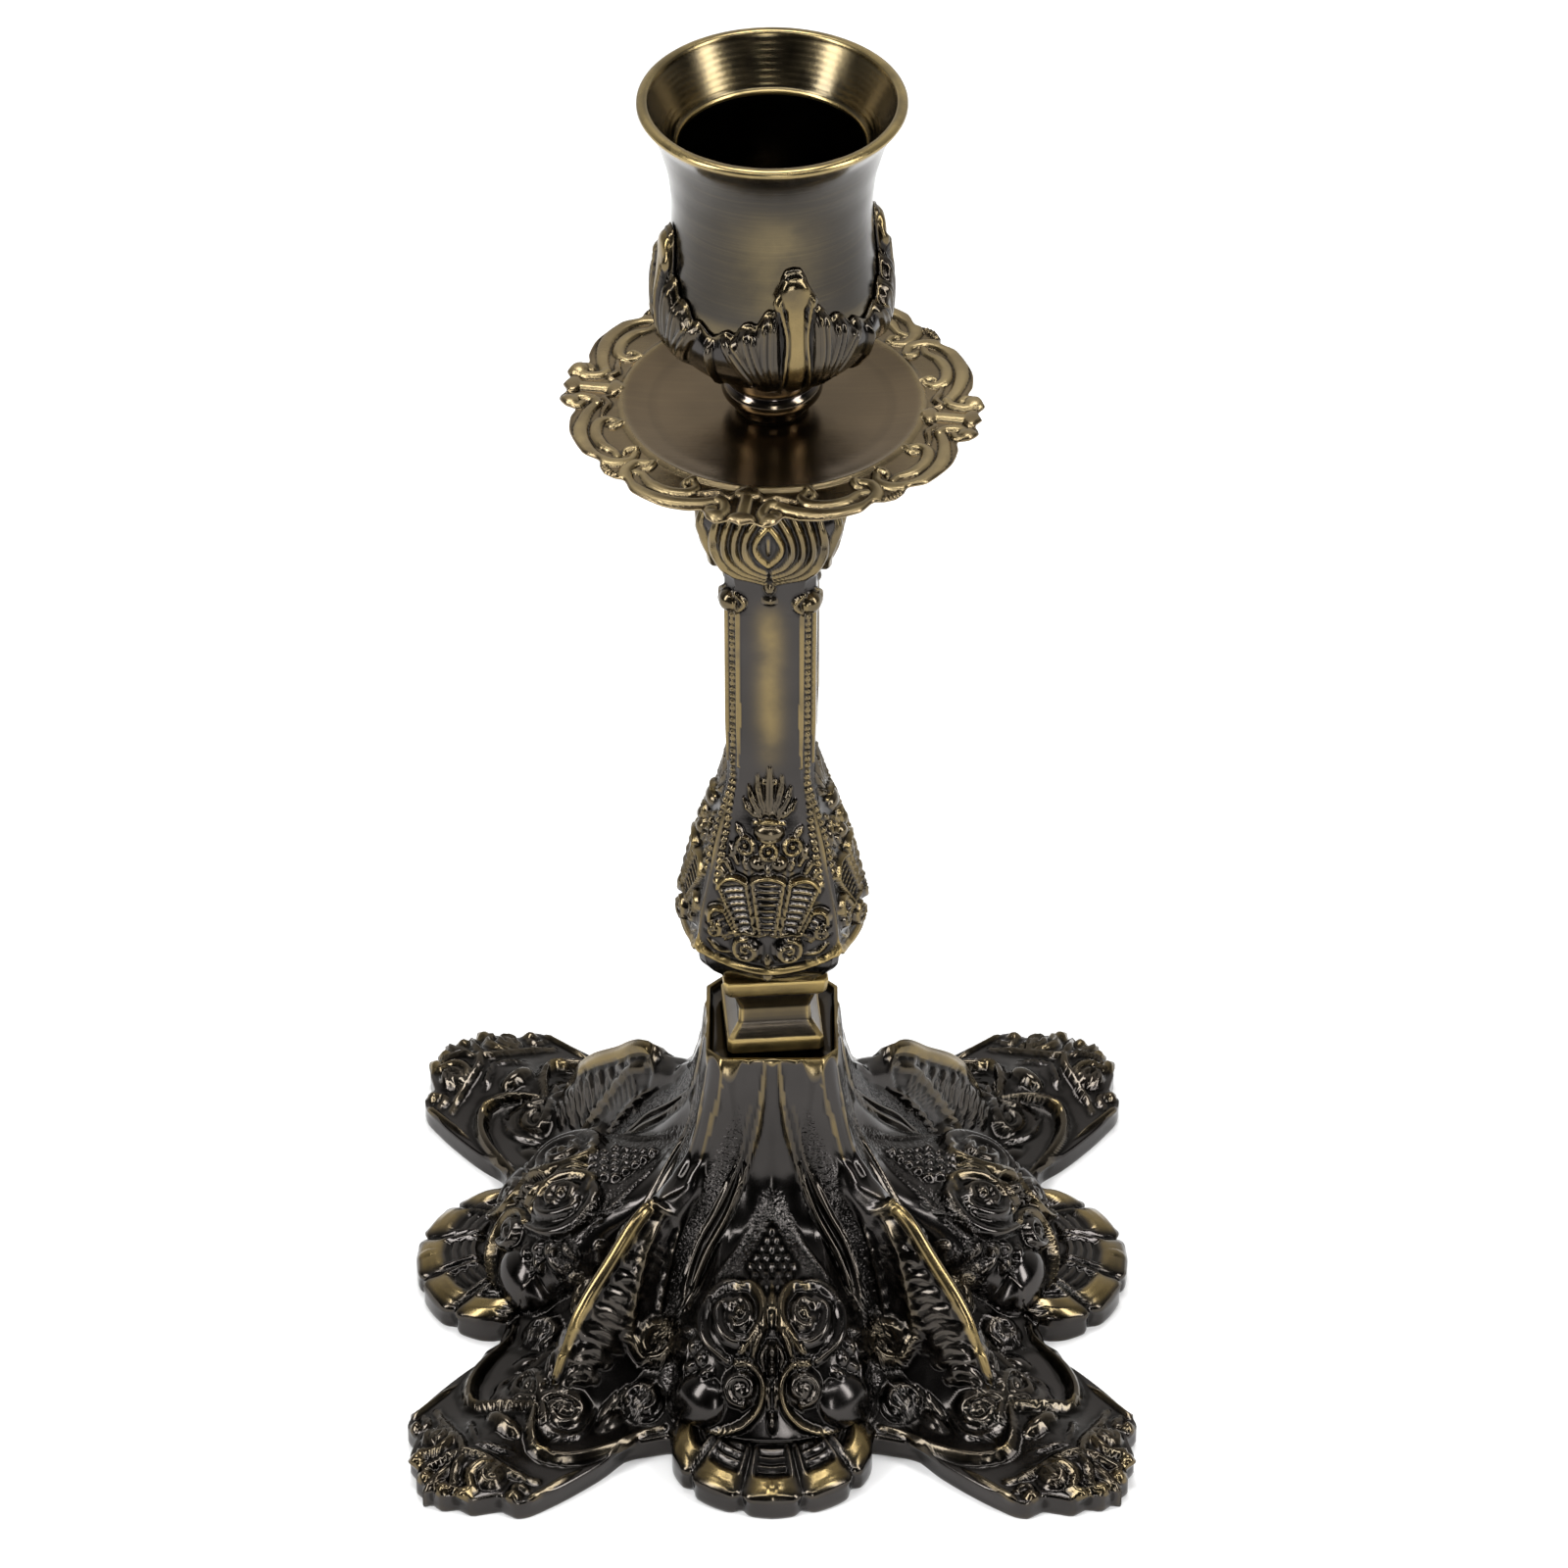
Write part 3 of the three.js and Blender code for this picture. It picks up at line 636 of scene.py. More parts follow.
def foot_relief(relief):
    """A scroll on each side of the foot, and an acanthus of lobes along its end."""
    relief.stroke([(29.4, 42.9), (32.4, 41.9), (35.2, 40.4), (37.4, 39.4), (39.4, 39.2)], 1.2, 0.8, 0.1,
                  (0.5, 1), power=0.8)
    relief.volute((35.6, 42.9), 1.9, 200, 1.8, 0.85, 0.8, 0.1, dish=0.5)
    relief.stroke([(34.5, 40.9), (36.9, 40.9), (38.3, 42.6), (37.8, 44.6)], 1.3, 1.0, 0.2, (0.6, 1))
    relief.stroke([(39.3, 40.0), (40.1, 41.8), (40.3, 44.0)], 1.1, 1.0, 0.1, (0.6, 1))
    relief.stroke([(41.2, 41.2), (42.0, 42.0), (43.4, 43.4)], 1.4, 1.0, 0.12, (0.6, 1))
    relief.blob((38.9, 45.0), (1.3, 1.1), 1.2, 0.35)
    relief.blob((41.6, 43.9), (1.1, 1.1), 1.1, 0.3)
    relief.blob((32.7, 45.3), (1.1, 0.9), 1.0, 0.2)
    relief.stroke([(30.6, 44.6), (32.2, 43.7), (33.4, 44.9)], 0.8, 0.8, 0.1)
    relief.stroke([(24.6, 40.6), (27.8, 43.4), (30.4, 45.6)], 0.9, 0.6, 0.2, (0.3, 1))
    relief.stroke([(33.0, 38.6), (35.4, 38.0), (37.4, 37.6)], 0.9, 0.6, 0, (0.4, 0.6))


def belly_relief(front):
    """Berries, two roses, leaf sprigs and two volutes whose rims sweep round smooth domes."""
    for down, places in (
        (-7.4, (0.0,)), (-6.2, (0.6,)), (-5.1, (0.0, 1.2)), (-4.0, (0.7, 1.9)), (-2.9, (0.0, 1.4, 2.7)),
        (-1.8, (0.8, 2.2)), (-0.8, (0.0, 1.4)),
    ):
        for across in places:
            front.blob((across, down), 0.75, 1.0, 0.0, power=0.7)
    front.blob((4.7, 3.6), (4.2, 4.6), 0.7, 0, power=0.3)
    front.stroke([(2.4, -0.4), (5.2, -0.7), (7.5, 1.0), (8.6, 3.7), (8.0, 6.3), (5.6, 8.6)], 1.6, 0.9, 0,
                 (0.7, 0.6), on=0.5)
    front.stroke([(4.4, -0.3), (2.6, -0.6), (1.3, 1.1), (1.2, 3.4), (2.4, 5.4), (3.8, 7.4)], 1.5, 1.0, 0.2,
                 (0.6, 0.6), on=0.5)
    front.stroke([(4.9, 0.9), (6.6, 2.3), (6.4, 4.6), (4.9, 6.1), (3.0, 5.9)], 1.3, 0.6, 0, (0.5, 0.7),
                 on=0.8)
    front.stroke([(5.0, 3.4), (4.4, 4.4), (3.1, 3.9), (2.8, 2.4), (3.8, 1.3), (5.1, 1.9)], 1.1, 0.6, 0.05,
                 (0.6, 0.8), on=0.9)
    front.blob((3.9, 2.7), (0.8, 0.7), 0.8, 0.1, turn=40, on=0.9)
    front.stroke([(0.7, 4.4), (1.7, 5.8), (2.4, 8.0)], 1.1, 1.3, 0.15, (0.6, 0.6), on=0.5)
    front.stroke([(0, -0.2), (0, 1.8), (0, 3.8)], 1.6, 1.5, 0.22, (0.6, 0.5))
    front.blob((0, 7.4), (0.8, 1.3), 1.7, 0.05)
    front.blob((0, 9.6), (0.6, 1.1), 1.5, 0.05)
    front.stroke([(0.5, 6.2), (1.3, 8.0), (0.9, 10.0)], 0.7, 1.2, 0.05, (0.5, 0.5))
    for across, down, turn in (
        (10.7, 5.2, 20), (9.9, 6.9, 60), (11.2, 7.6, 10), (9.0, 8.4, 80), (10.3, 9.4, 40), (8.4, 10.2, 30),
    ):
        front.blob((across, down), (1.2, 0.75), 0.9, 0.0, turn=turn, power=0.7)
    front.blob((9.6, 13.9), (3.8, 3.6), 1.5, 0, turn=20, power=0.55)
    front.volute((3.8, 11.9), 2.6, 90, -1.5, 1.2, 0.65, 0.03, dish=0.8)
    front.stroke([(4.6, 8.9), (2.8, 9.0), (1.4, 10.6), (1.2, 12.8), (2.1, 15.2), (4.2, 17.0), (7.0, 17.7),
                 (9.8, 16.9)], 1.2, 1.6, 0.2, (0.7, 0.35))
    front.stroke([(0.45, 11.2), (0.5, 14.4)], 0.7, 1.0, 0.08)
    front.blob((0, 16.4), (0.6, 1.5), 1.2, 0.03)
    front.blob((11.6, 17.7), 0.9, 0.9, 0.03, power=0.7)


def base_casting():
    fine = 1024
    half_count, quarter = fine // 2, fine // 4
    counts = [quarter] * 50 + [half_count] * 44 + [fine] * 56
    ground = []
    for count, share in zip(counts, np.linspace(0, 1, len(counts))):
        degrees = around(count)
        inner, outer = top_radius(degrees), rim_radius(degrees)
        radius = inner + (outer - inner) * np.linspace(0, 1, 160)[:, None] ** 1.5
        height = base_ground(degrees, radius)
        height[0] = BASE_TOP
        length = np.zeros_like(radius)
        length[1:] = np.cumsum(np.hypot(np.diff(radius, axis=0), np.diff(height, axis=0)), axis=0)
        at = np.array([np.interp(share * run[-1], run, row) for run, row in zip(length.T, radius.T)])
        ground.append(ring(at, base_ground(degrees, at) if share > 0 else BASE_TOP, count))
    rim = rim_radius(around(fine))
    edge = [(rim, 2.4), (rim, 1.8), (rim, 1.2), (rim, 0.6), (rim - 0.15, 0.15), (rim - 0.35, 0)]

    def land(degrees):
        return rim_inset(degrees, WALL + 5 * ease(folded(degrees), 36, 44))

    sole = [ring(land(around(half_count)), 0, half_count)]
    degrees = around(quarter)
    under = []
    for share in np.linspace(1, 0, 22) ** 1.3:
        radius = mix(top_radius(degrees) - WALL, land(degrees), share)
        under.append(ring(radius, base_ground(degrees, radius + WALL) - SOLE, quarter))
    under[-1][:, 2] = BASE_TOP - CEILING
    seat, seat_floor = top_radius(degrees, SEAT_RIM), BASE_TOP - SEAT_DEPTH
    inside = lathe([
        (BORE, BASE_TOP - CEILING), (BORE, seat_floor), (seat - 0.6, seat_floor),
        (seat - 0.15, seat_floor + 0.15), (seat, BASE_TOP - 0.15), (seat + 0.1, BASE_TOP),
        (top_radius(degrees) - 0.15, BASE_TOP),
    ], quarter)
    points, faces = skin([*inside, *ground, *lathe(edge, fine), *sole, *under])
    shown = np.zeros(len(points), bool)
    first = len(inside) * quarter
    shown[first:first + sum(counts)] = True
    across, out = fold(points[:, 0], points[:, 1])
    along, aside = diagonal(across, out)
    plan = Relief(across, out)
    slope = Relief(along, np.interp(aside, *np.array(RIDGE_RUN).T))
    front = Relief(across, LEAN * out - DROP * points[:, 2])
    neck_relief(plan)
    ribbon_relief(plan, front)
    feather_relief(slope, front)
    corner_relief(plan, front)
    foot_relief(plan)
    belly_relief(front)
    shell_relief(plan)
    slope.height *= along > 19
    plan.take(slope)
    plan.take(front)
    # a nick in the middle of each side of the top, and a rubbed line round its edge
    notch = 0.9 * bell(across, 0.75) * ease(points[:, 2], BASE_TOP - 1.6, BASE_TOP) * shown
    for values in (plan.height, plan.gilt, plan.grain):
        values *= shown
    plan.height *= ease(BASE_TOP - points[:, 2], 0, 0.8)
    top_edge = bell(points[:, 2] - BASE_TOP, 0.25) * (np.hypot(across, out) > TOP_FACE - 0.7)
    points = points + normals(points, faces) * plan.height[:, None]
    points[:, 2] -= notch
    points[:, :2] = np.clip(points[:, :2], -BASE_HALF, BASE_HALF)
    gilt = np.maximum(plan.gilt, 0.6 * top_edge)
    piece("base_casting", points, faces, CAST, gilt=gilt, grain=plan.grain)


base_casting()


# ---- square pieces: spool and stem ----
def square_ring(height, middle, edge, flat, face_points, chamfer_points):
    """A square with cut corners. middle and edge are how far the middle and the ends of a flat
    stand from the axis, and flat is its half length. Columns keep to the same facet."""
    share = np.linspace(-1, 1, face_points)
    face = np.stack([mix(middle, edge, ease(np.abs(share), 0, 1)), flat * share], 1)
    cut = np.linspace(0, 1, chamfer_points + 2)[1:-1, None]
    side = np.vstack([face, mix(np.array([edge, flat]), np.array([flat, edge]), cut)])
    quarters = []
    for quarter in range(4):
        c, s = round(math.cos(quarter * math.pi / 2)), round(math.sin(quarter * math.pi / 2))
        quarters.append(side @ np.array([[c, s], [-s, c]]))
    plan = np.vstack(quarters)
    return np.column_stack([plan, np.full(len(plan), float(height))])


def neck_spool():
    bottom, top = low("neck_spool"), high("neck_spool")
    sections = [  # height, middle, edge, flat, bare brass
        (bottom, 5.9, 5.9, 5.4, 0.3), (bottom + 0.2, 6.1, 6.1, 5.6, 0.9), (45.35, 6.1, 6.1, 5.6, 0.95),
        (45.5, 5.95, 5.95, 5.5, 0.9), (45.65, 5.8, 5.8, 5.35, 0.05), (47.3, 4.6, 4.6, 4.2, 0.0),
        (49.5, 4.5, 4.5, 4.15, 0.35), (51.8, 5.2, 5.2, 4.8, 0.12), (53.0, 6.4, 6.4, 5.95, 0.3),
        (top - 0.2, 6.7, 6.7, 6.2, 0.3), (top, 6.5, 6.5, 6.0, 0.25),
    ]
    rows = softened(sections, 0.3)
    rings = [square_ring(*row[:4], 24, 4) for row in rows]
    count = len(rings[0])
    points, faces = skin([*rings, ring(BORE, top, count), ring(BORE, bottom, count)])
    gilt = np.repeat([row[4] for row in rows] + [0, 0], count)
    across, out = fold(points[:, 0], points[:, 1])
    corner = 0.7 * ease(across / np.maximum(out, 0.1), 0.84, 0.9)
    gilt = np.maximum(gilt, corner) * (out > BORE + 0.5)
    piece("neck_spool", points, faces, SQUARE, SPOOL_TURN, sharp=28, gilt=gilt)


STEM = [  # height, middle, edge, flat
    (55.5, 6.6, 6.4, 5.4), (56.5, 7.7, 7.0, 5.9), (58.1, 9.4, 8.1, 7.0), (60.4, 11.1, 9.1, 8.1),
    (63.6, 11.6, 9.5, 8.6), (67.5, 11.2, 9.2, 8.2), (71.5, 10.4, 8.6, 7.4), (75.5, 9.4, 7.9, 6.5),
    (79.5, 8.1, 7.1, 5.5), (83.5, 6.5, 6.2, 4.6), (87, 5.7, 5.6, 3.9), (91, 5.4, 5.4, 3.7),
    (111.8, 5.5, 5.5, 3.7), (113.7, 5.6, 5.9, 4.4), (115.6, 5.6, 5.6, 4.1), (117.2, 5.9, 5.6, 4.3),
    (119, 6.8, 6.4, 5), (121, 7.6, 7.1, 5.6), (123.8, 8.3, 7.9, 6.3), (126.5, 8.8, 8.3, 6.6),
    (128.8, 8.2, 7.6, 6), (130.8, 6.6, 6.2, 4.9), (133, 5.9, 5.7, 4.4), (135.6, 7, 6.7, 5.2),
    (137.9, 8.2, 7.8, 6.2),
]
STEM_STEPS = ((55.5, 62, 20), (62, 90, 128), (90, 112.5, 76), (112.5, 130, 66), (130, 137.9, 17))
SHELL_FOOT = 59           # height that the bulb's shell fans out from
BAND = [[60, 8.4], [64, 9.0], [68, 8.6], [71.5, 8.1], [77, 6.65], [81, 5.8], [86, 5.0], [90, 4.8]]


def bulb_relief(face):
    """On each face of the bulb: palmette, vase, flowers and a ladder shell over two volutes."""
    for tip, root, width in (
        ((0, 88.4), (0, 82.0), 1.5), ((1.5, 87.2), (0.5, 82.2), 1.2), ((2.6, 85.6), (0.9, 81.8), 1.1),
        ((3.2, 83.7), (1.2, 81.5), 1.0),
    ):
        middle = mix(np.array(root), np.array(tip), 0.55) + (0.25 if tip[0] else 0, 0)
        face.stroke([root, middle, tip], width, 0.8, 0.15, (0.5, 0.45), section=lambda a: 1 - 0.45 * bell(a,
                    0.22))
    for across, height in ((1.2, 84.9), (2.1, 84.3), (0.7, 86.4), (2.8, 82.7)):
        face.blob((across, height), 0.4, 0.7, 0.2)
    face.blob((0, 79.9), (1.9, 1.1), 0.9, 0.15, power=0.5)
    face.stroke([(-1.9, 80.9), (0, 81.2), (1.9, 80.9)], 0.6, 1.1, 0.45)
    face.stroke([(-1.3, 79.0), (0, 78.8), (1.3, 79.0)], 0.5, 0.8, 0.3)
    face.ridge(spiral((0, 77.5), 0.95, 0, 1, eye=1), 0.55, 0.8, 0.4, (1, 1))
    face.blob((0, 77.5), 0.45, 0.8, 0.2)
    face.blob((1.35, 75.9), 1.1, 0.9, 0.2, power=0.7)
    face.blob((0, 75.2), (0.5, 0.9), 0.7, 0.1)
    face.ridge(spiral((2.9, 77.9), 1.0, 0, 1, eye=1), 0.5, 0.8, 0.3, (1, 1))
    face.blob((2.9, 77.9), (0.5, 0.5), 0.7, 0.1)
    for start, end in (((4.0, 80.2), (3.3, 79.0)), ((3.4, 78.6), (4.7, 76.2)), ((4.8, 77.6), (3.8, 75.4)),
                       ((5.6, 76.0), (4.6, 74.2)), ((6.2, 74.6), (5.4, 73.2)), ((3.0, 76.3), (2.7, 75.0))):
        face.stroke([start, end], 0.9, 0.7, 0.12, (0.5, 0.8), section=lambda a: 1 - 0.4 * bell(a, 0.25))
    reach, fan = about(SHELL_FOOT, face.x, face.y)
    for start, end, inner, outer in ((-8.5, 8.5, 7.4, 15.2), (9.5, 27, 7.4, 15.0), (28, 43, 7.6, 11.8)):
        found = np.flatnonzero((fan > start) & (fan <= end) & (reach > inner) & (reach < outer + 0.9))
        share = np.abs((fan[found] - (start + end) / 2) / ((end - start) / 2))
        crown = outer - 0.9 * share**2
        side = np.abs(share - 0.86) * (end - start) / 2 * np.pi / 180 * reach[found]
        rib = 0.9 * bell(side, 0.26)
        bars = 0.5 * ladder(reach[found] - inner, 0.85) * ease(share, 0.8, 0.66)
        arch = 1.0 * bell(reach[found] - crown, 0.42)
        height = np.where(reach[found] > crown, arch, np.maximum(np.maximum(rib, bars), arch))
        face.lay(found, height, np.maximum(0.6 * bell(reach[found] - crown, 0.4), 0.45 * bell(side, 0.22)))
    face.volute((2.45, 64.0), 1.95, 90, -1.7, 0.7, 0.7, 0.12, dish=0.6)
    face.volute((6.7, 65.9), 1.3, 120, 1.3, 0.6, 0.6, 0.1, dish=0.5)
    face.stroke([(0, 66.6), (1.0, 66.3), (2.4, 66.4), (4.2, 66.0), (5.4, 65.0)], 0.6, 0.9, 0.25)
    face.stroke([(8.9, 66.4), (8.9, 63.5), (7.4, 61.7), (4.5, 60.8), (0, 60.6)], 1.0, 0.9, 0.7, (0.8, 1))
    face.stroke([(4.8, 62.7), (6.2, 62.9), (7.4, 64.0)], 0.7, 0.6, 0.15)
    face.blob((0, 59.3), (0.7, 0.8), 0.8, 0.3)
    face.blob((0, 62.3), (0.5, 1.1), 0.8, 0.2)


def capital_relief(face):
    """Nested leaves either side of an almond."""
    almond = ((0, 127.6), (1.1, 126.2), (1.65, 124.4), (1.1, 122.6), (0, 121.2))
    face.stroke(almond, 0.8, 0.8, 0.6, (0.8, 0.8))
    face.stroke([(0, 126.4), (0, 122.6)], 0.45, 0.45, 0, (0.5, 0.5))
    for leaf in (
        ((1.2, 128.6), (2.6, 126.2), (2.9, 123.3), (2.0, 121.0), (0.4, 119.6)),
        ((2.8, 128.9), (4.0, 126.0), (4.1, 122.8), (2.8, 120.2), (0.5, 118.6)),
        ((4.4, 128.8), (5.4, 125.7), (5.3, 122.4), (3.6, 119.6), (0.6, 117.9)),
        ((6.0, 128.4), (6.7, 125.4), (6.3, 122.0), (4.3, 118.9), (0.6, 117.2)),
    ):
        face.stroke(leaf, 1.05, 0.75, 0.4, (0.8, 0.6))
    face.blob((0, 116.2), (0.8, 1.0), 0.7, 0.2)
    face.blob((0, 114.3), (1.1, 0.8), 0.5, 0.1)


def chamfer_relief(cut):
    """Two ridges with a row of beads between them down each corner of the shaft."""
    cut.stroke([(1.0, 88.5), (1.0, 100), (1.0, 112.6)], 0.6, 0.45, 0.45, (0.6, 1))
    for height in np.arange(72.4, 112.4, 0.95):
        wander = np.interp(height, [72, 80, 87], [1.15, 0.75, 0.0])
        cut.blob((wander, height), 0.44, 0.5, 0.35, power=0.6)
    cut.blob((0, 113.8), (1.4, 1.5), 1.0, 0.25, power=0.7)
    cut.stroke([(0.9, 112.4), (1.9, 113.9), (0.9, 115.4)], 0.6, 0.6, 0.2)


def stem_baluster():
    heights = [STEM_STEPS[0][0]]
    for start, end, count in STEM_STEPS:
        heights += list(np.linspace(start, end, count + 1)[1:])
    tables = [[[row[0], row[k]] for row in STEM] for k in (1, 2, 3)]
    rings = []
    for height in heights:
        sunk = 0.5 * float(ease(height, 58, 62) * ease(height, 90, 84))
        middle, edge, flat = (float(smooth(table, height)) for table in tables)
        rings.append(square_ring(height, middle - sunk, edge - sunk, flat - sunk / 2, 60, 20))
    count = len(rings[0])
    bottom, top = heights[0], heights[-1]
    points, faces = skin([*rings, ring(BORE, top, count), ring(BORE, bottom, count)])
    across, out = fold(points[:, 0], points[:, 1])
    height = points[:, 2]
    face, cut = Relief(across, height), Relief(diagonal(across, out)[1], height)
    bulb_relief(face)
    capital_relief(face)
    chamfer_relief(cut)
    face.take(cut)
    band = across - smooth(BAND, height)
    along_bulb = ease(height, 62, 65) * ease(height, 91, 87)
    edge_band = bell(band, 0.35) * along_bulb
    face.lay(np.arange(len(height)), 0.6 * edge_band, 0.7 * edge_band)
    shaft = ease(height, 86, 96) * ease(height, 115, 110)
    brushed = 0.42 * shaft * bell(across, 1.5)
    outside = ease(height, bottom, bottom + 0.8) * ease(height, top, top - 0.8) * (out > BORE + 0.6)
    points = points + normals(points, faces) * (face.height * outside)[:, None]
    gilt = np.maximum(face.gilt, brushed) * outside
    piece("stem_baluster", points, faces, CARVED, STEM_TURN, gilt=gilt)


neck_spool()
stem_baluster()


# ---- drip pan ----
PAN_OUTLINE = [
    [0, 25.5], [3, 24.9], [6.5, 25.6], [9.5, 25], [12, 23.7], [16, 24.4], [24, 25], [33, 24.9],
    [39, 23.9], [42, 24.5], [45, 24.8],
]
PAN_FIELD = 18.2          # radius of the smooth dished field


def pan_relief(plan):
    """Flat strapwork on the border. Points are (radius, degrees from the bone's middle)."""
    def strap(*points, width=1.6, gilt=0.7, ends=(0.6, 0.6)):
        plan.stroke([polar(*point) for point in points], width, 0.5, gilt, ends, power=0.3)

    strap((18.9, 0), (20.4, 0), (23.0, 0), (24.6, 0), width=1.5, ends=(1, 1))
    plan.blob(polar(19.2, 0), (0.9, 1.6), 0.6, 0.4, power=0.3)
    plan.blob(polar(24.3, 0), (1.1, 1.7), 0.65, 0.4, power=0.3)
    strap((19.4, 41.6), (20.6, 43.8), (22.6, 42.0), (23.9, 37), (24.1, 30), (23.7, 23), (22.8, 17),
          (21.9, 12.5), (21.0, 9.2), width=1.75, ends=(0.6, 0.75))
    strap((21.0, 9.2), (21.5, 6.8), (23.0, 5.6), (24.3, 7.0), (24.4, 9.4), (23.3, 10.3), (22.8, 9.0),
          width=1.2, ends=(1, 0.8))
    plan.blob(polar(24.4, 8.0), 1.3, 0.75, 0.6, power=0.5)
    strap((19.0, 20.5), (19.9, 18.6), (21.3, 20.5), (22.1, 26), (22.1, 32), (21.4, 37), (21.6, 40),
          width=1.45)
    strap((19.0, 20.5), (18.8, 22.4), (19.8, 23.2), (20.3, 22.0), width=0.8)
    strap((19.4, 41.6), (19.0, 39.4), (20.0, 38.4), (20.6, 39.6), width=0.8)
    strap((19.3, 4.6), (20.3, 6.4), (19.7, 9.6), (20.2, 13.4), (20.6, 16.4), width=0.9, gilt=0.25)
    for degrees in (42.6, 43.8, 45.0):
        strap((23.9, degrees), (24.9, degrees), width=0.42, gilt=0.3, ends=(1, 1))


def pan_ground(radius):
    """Height of the plain top of the pan."""
    height = smooth([[0, 139.4], [10, 139.4], [14, 139.55], [17.2, 139.95], [18.2, 140.05]], radius)
    step = ease(radius, PAN_FIELD - 0.1, PAN_FIELD + 0.45)
    return mix(height, 139.75, step) + 0.15 * bell(radius - PAN_FIELD, 0.5)


def drip_pan():
    top, bottom = high("drip_pan"), low("drip_pan")
    fine, medium, coarse = 1024, 512, 256
    rows = [ring(radius, pan_ground(radius), coarse) for radius in [BORE, *np.linspace(4, 15.5, 16)]]
    for share in np.linspace(0, 1, 12):
        radius = mix(16.0, PAN_FIELD, share)
        rows.append(ring(radius, pan_ground(radius), medium))
    edge = smooth(PAN_OUTLINE, folded(around(fine)))
    for share in np.linspace(0.03, 1, 40):
        radius = mix(PAN_FIELD + 0.1, edge - 0.25, share)
        rows.append(ring(radius, pan_ground(radius), fine))
    first_edge = sum(len(row) for row in rows)
    edge_rows = [(edge - 0.08, 139.95), (edge, 139.8), (edge - 0.12, 139.66), (edge * 0.97, 139.55)]
    rows += lathe(edge_rows, fine)
    under = smooth(PAN_OUTLINE, folded(around(medium)))
    rows += lathe([(under * 0.92, 139.4), (under * 0.8, 139.0)], medium)
    rows += lathe([(17, 138.75), (13, 138.4), (10, bottom), (6, bottom), (BORE, bottom)], coarse)
    points, faces = skin(rows)
    upper = np.arange(len(points)) < first_edge
    across, out = fold(points[:, 0], points[:, 1])
    plan = Relief(out, across)
    pan_relief(plan)
    radius = np.hypot(across, out)
    field_edge = bell(radius - PAN_FIELD - 0.1, 0.55) * upper
    points[:, 2] += plan.height * upper * (radius > PAN_FIELD - 0.6)
    points[:, 2] = np.minimum(points[:, 2], top)
    border = 0.2 * ease(radius, PAN_FIELD - 1.0, PAN_FIELD + 0.4)
    gilt = np.maximum(np.maximum(plan.gilt * (radius > PAN_FIELD - 0.6), border), 0.5 * field_edge) * upper
    piece("drip_pan", points, faces, PAN, PAN_TURN, gilt=gilt)


drip_pan()


# ---- collar, cup and calyx ----
def cup_collar():
    bottom, top = low("cup_collar"), high("cup_collar")
    profile = softened([
        (BORE, bottom), (4.3, bottom), (4.5, bottom + 0.2), (4.8, 140.7), (5.4, 141.2), (5.95, 141.8),
        (6.17, 142.6), (5.95, 143.4), (5.5, 143.9), (5.55, 144.1), (5.85, 144.4), (5.95, 146.5),
        (5.75, top), (BORE, top),
    ], 0.5, 4)
    points, faces = skin(lathe(profile, 128))
    gilt = 0.3 * bell(points[:, 2] - 140.3, 0.4)
    piece("cup_collar", points, faces, BEAD, gilt=gilt)


CUP_OUTSIDE = [  # height, radius
    [148.6, 6], [149.2, 8.6], [150.6, 10.6], [152.6, 11.9], [155, 12.6], [157.5, 12.8], [160.5, 12.5],
    [164.5, 12.1], [168.5, 11.9], [172.5, 12.2], [176.6, 13.1], [180.2, 14.4], [182, 15.6], [182.55, 15.95],
]
CUP_FLOOR = 155.4         # where the candle stands
CUP_SINK = 150.6          # floor of the recess for the washer and nut
CUP_RIM = 182.4           # the rolled rim is above this


def candle_cup():
    top, bottom = high("candle_cup"), low("candle_cup")
    outside = [(float(smooth(CUP_OUTSIDE, height)), height) for height in
               [*np.linspace(bottom, 151, 10), *np.linspace(151.4, 182.55, 66)]]
    lip = [(15.93, 182.75), (15.83, 182.95), (15.6, 183.12), (15.3, top), (15.0, 183.18), (14.75, 183.1),
           (14.62, 182.95), (14.54, 182.75)]
    mouth = []
    for share in np.linspace(0, 1, 26):
        ripple = 0.015 * math.sin(share * 7 * 2 * math.pi)
        mouth.append((mix(14.5, 11.75, share) + ripple, mix(182.6, 177.7, share)))
    ledge = [(11.6, 177.35), (11.4, 177.15), (11.2, 177.0), (11.12, 176.85), (11.1, 176.5)]
    inner = [(11.1, 165), (11.1, CUP_FLOOR + 0.3), (11.0, CUP_FLOOR + 0.05), (10.7, CUP_FLOOR),
             (6.7, CUP_FLOOR), (6.45, CUP_FLOOR - 0.1), (6.4, CUP_FLOOR - 0.4), (6.4, CUP_SINK + 0.2),
             (6.2, CUP_SINK), (BORE, CUP_SINK), (BORE, bottom)]
    count = 160
    points, faces = skin(lathe([*outside, *lip, *mouth, *ledge, *inner], count))
    radius, height = np.hypot(points[:, 0], points[:, 1]), points[:, 2]
    exterior = np.arange(len(points)) < len(outside) * count
    cone = (~exterior) & (height > 176.9) & (radius < 14.7)
    turn = np.degrees(np.arctan2(points[:, 1], points[:, 0]))
    # a brass band down the front, facing the camera: partly rubbed brass, partly a painted highlight
    rubbed_and_highlight_band = 0.3 * bell((turn + 100) / 20, 1) * ease(height, 158, 164) * ease(height, 178, 170) * exterior
    at_rim = height > CUP_RIM
    edges = 0.55 * bell(radius - 15.85, 0.15) * at_rim + 0.7 * bell(radius - 14.6, 0.12) * at_rim
    gilt = np.maximum(np.maximum(rubbed_and_highlight_band, edges), 0.32 * cone)
    gilt = np.maximum(gilt, 0.1 * at_rim)
    piece("candle_cup", points, faces, CUP, CUP_TURN, gilt=gilt)


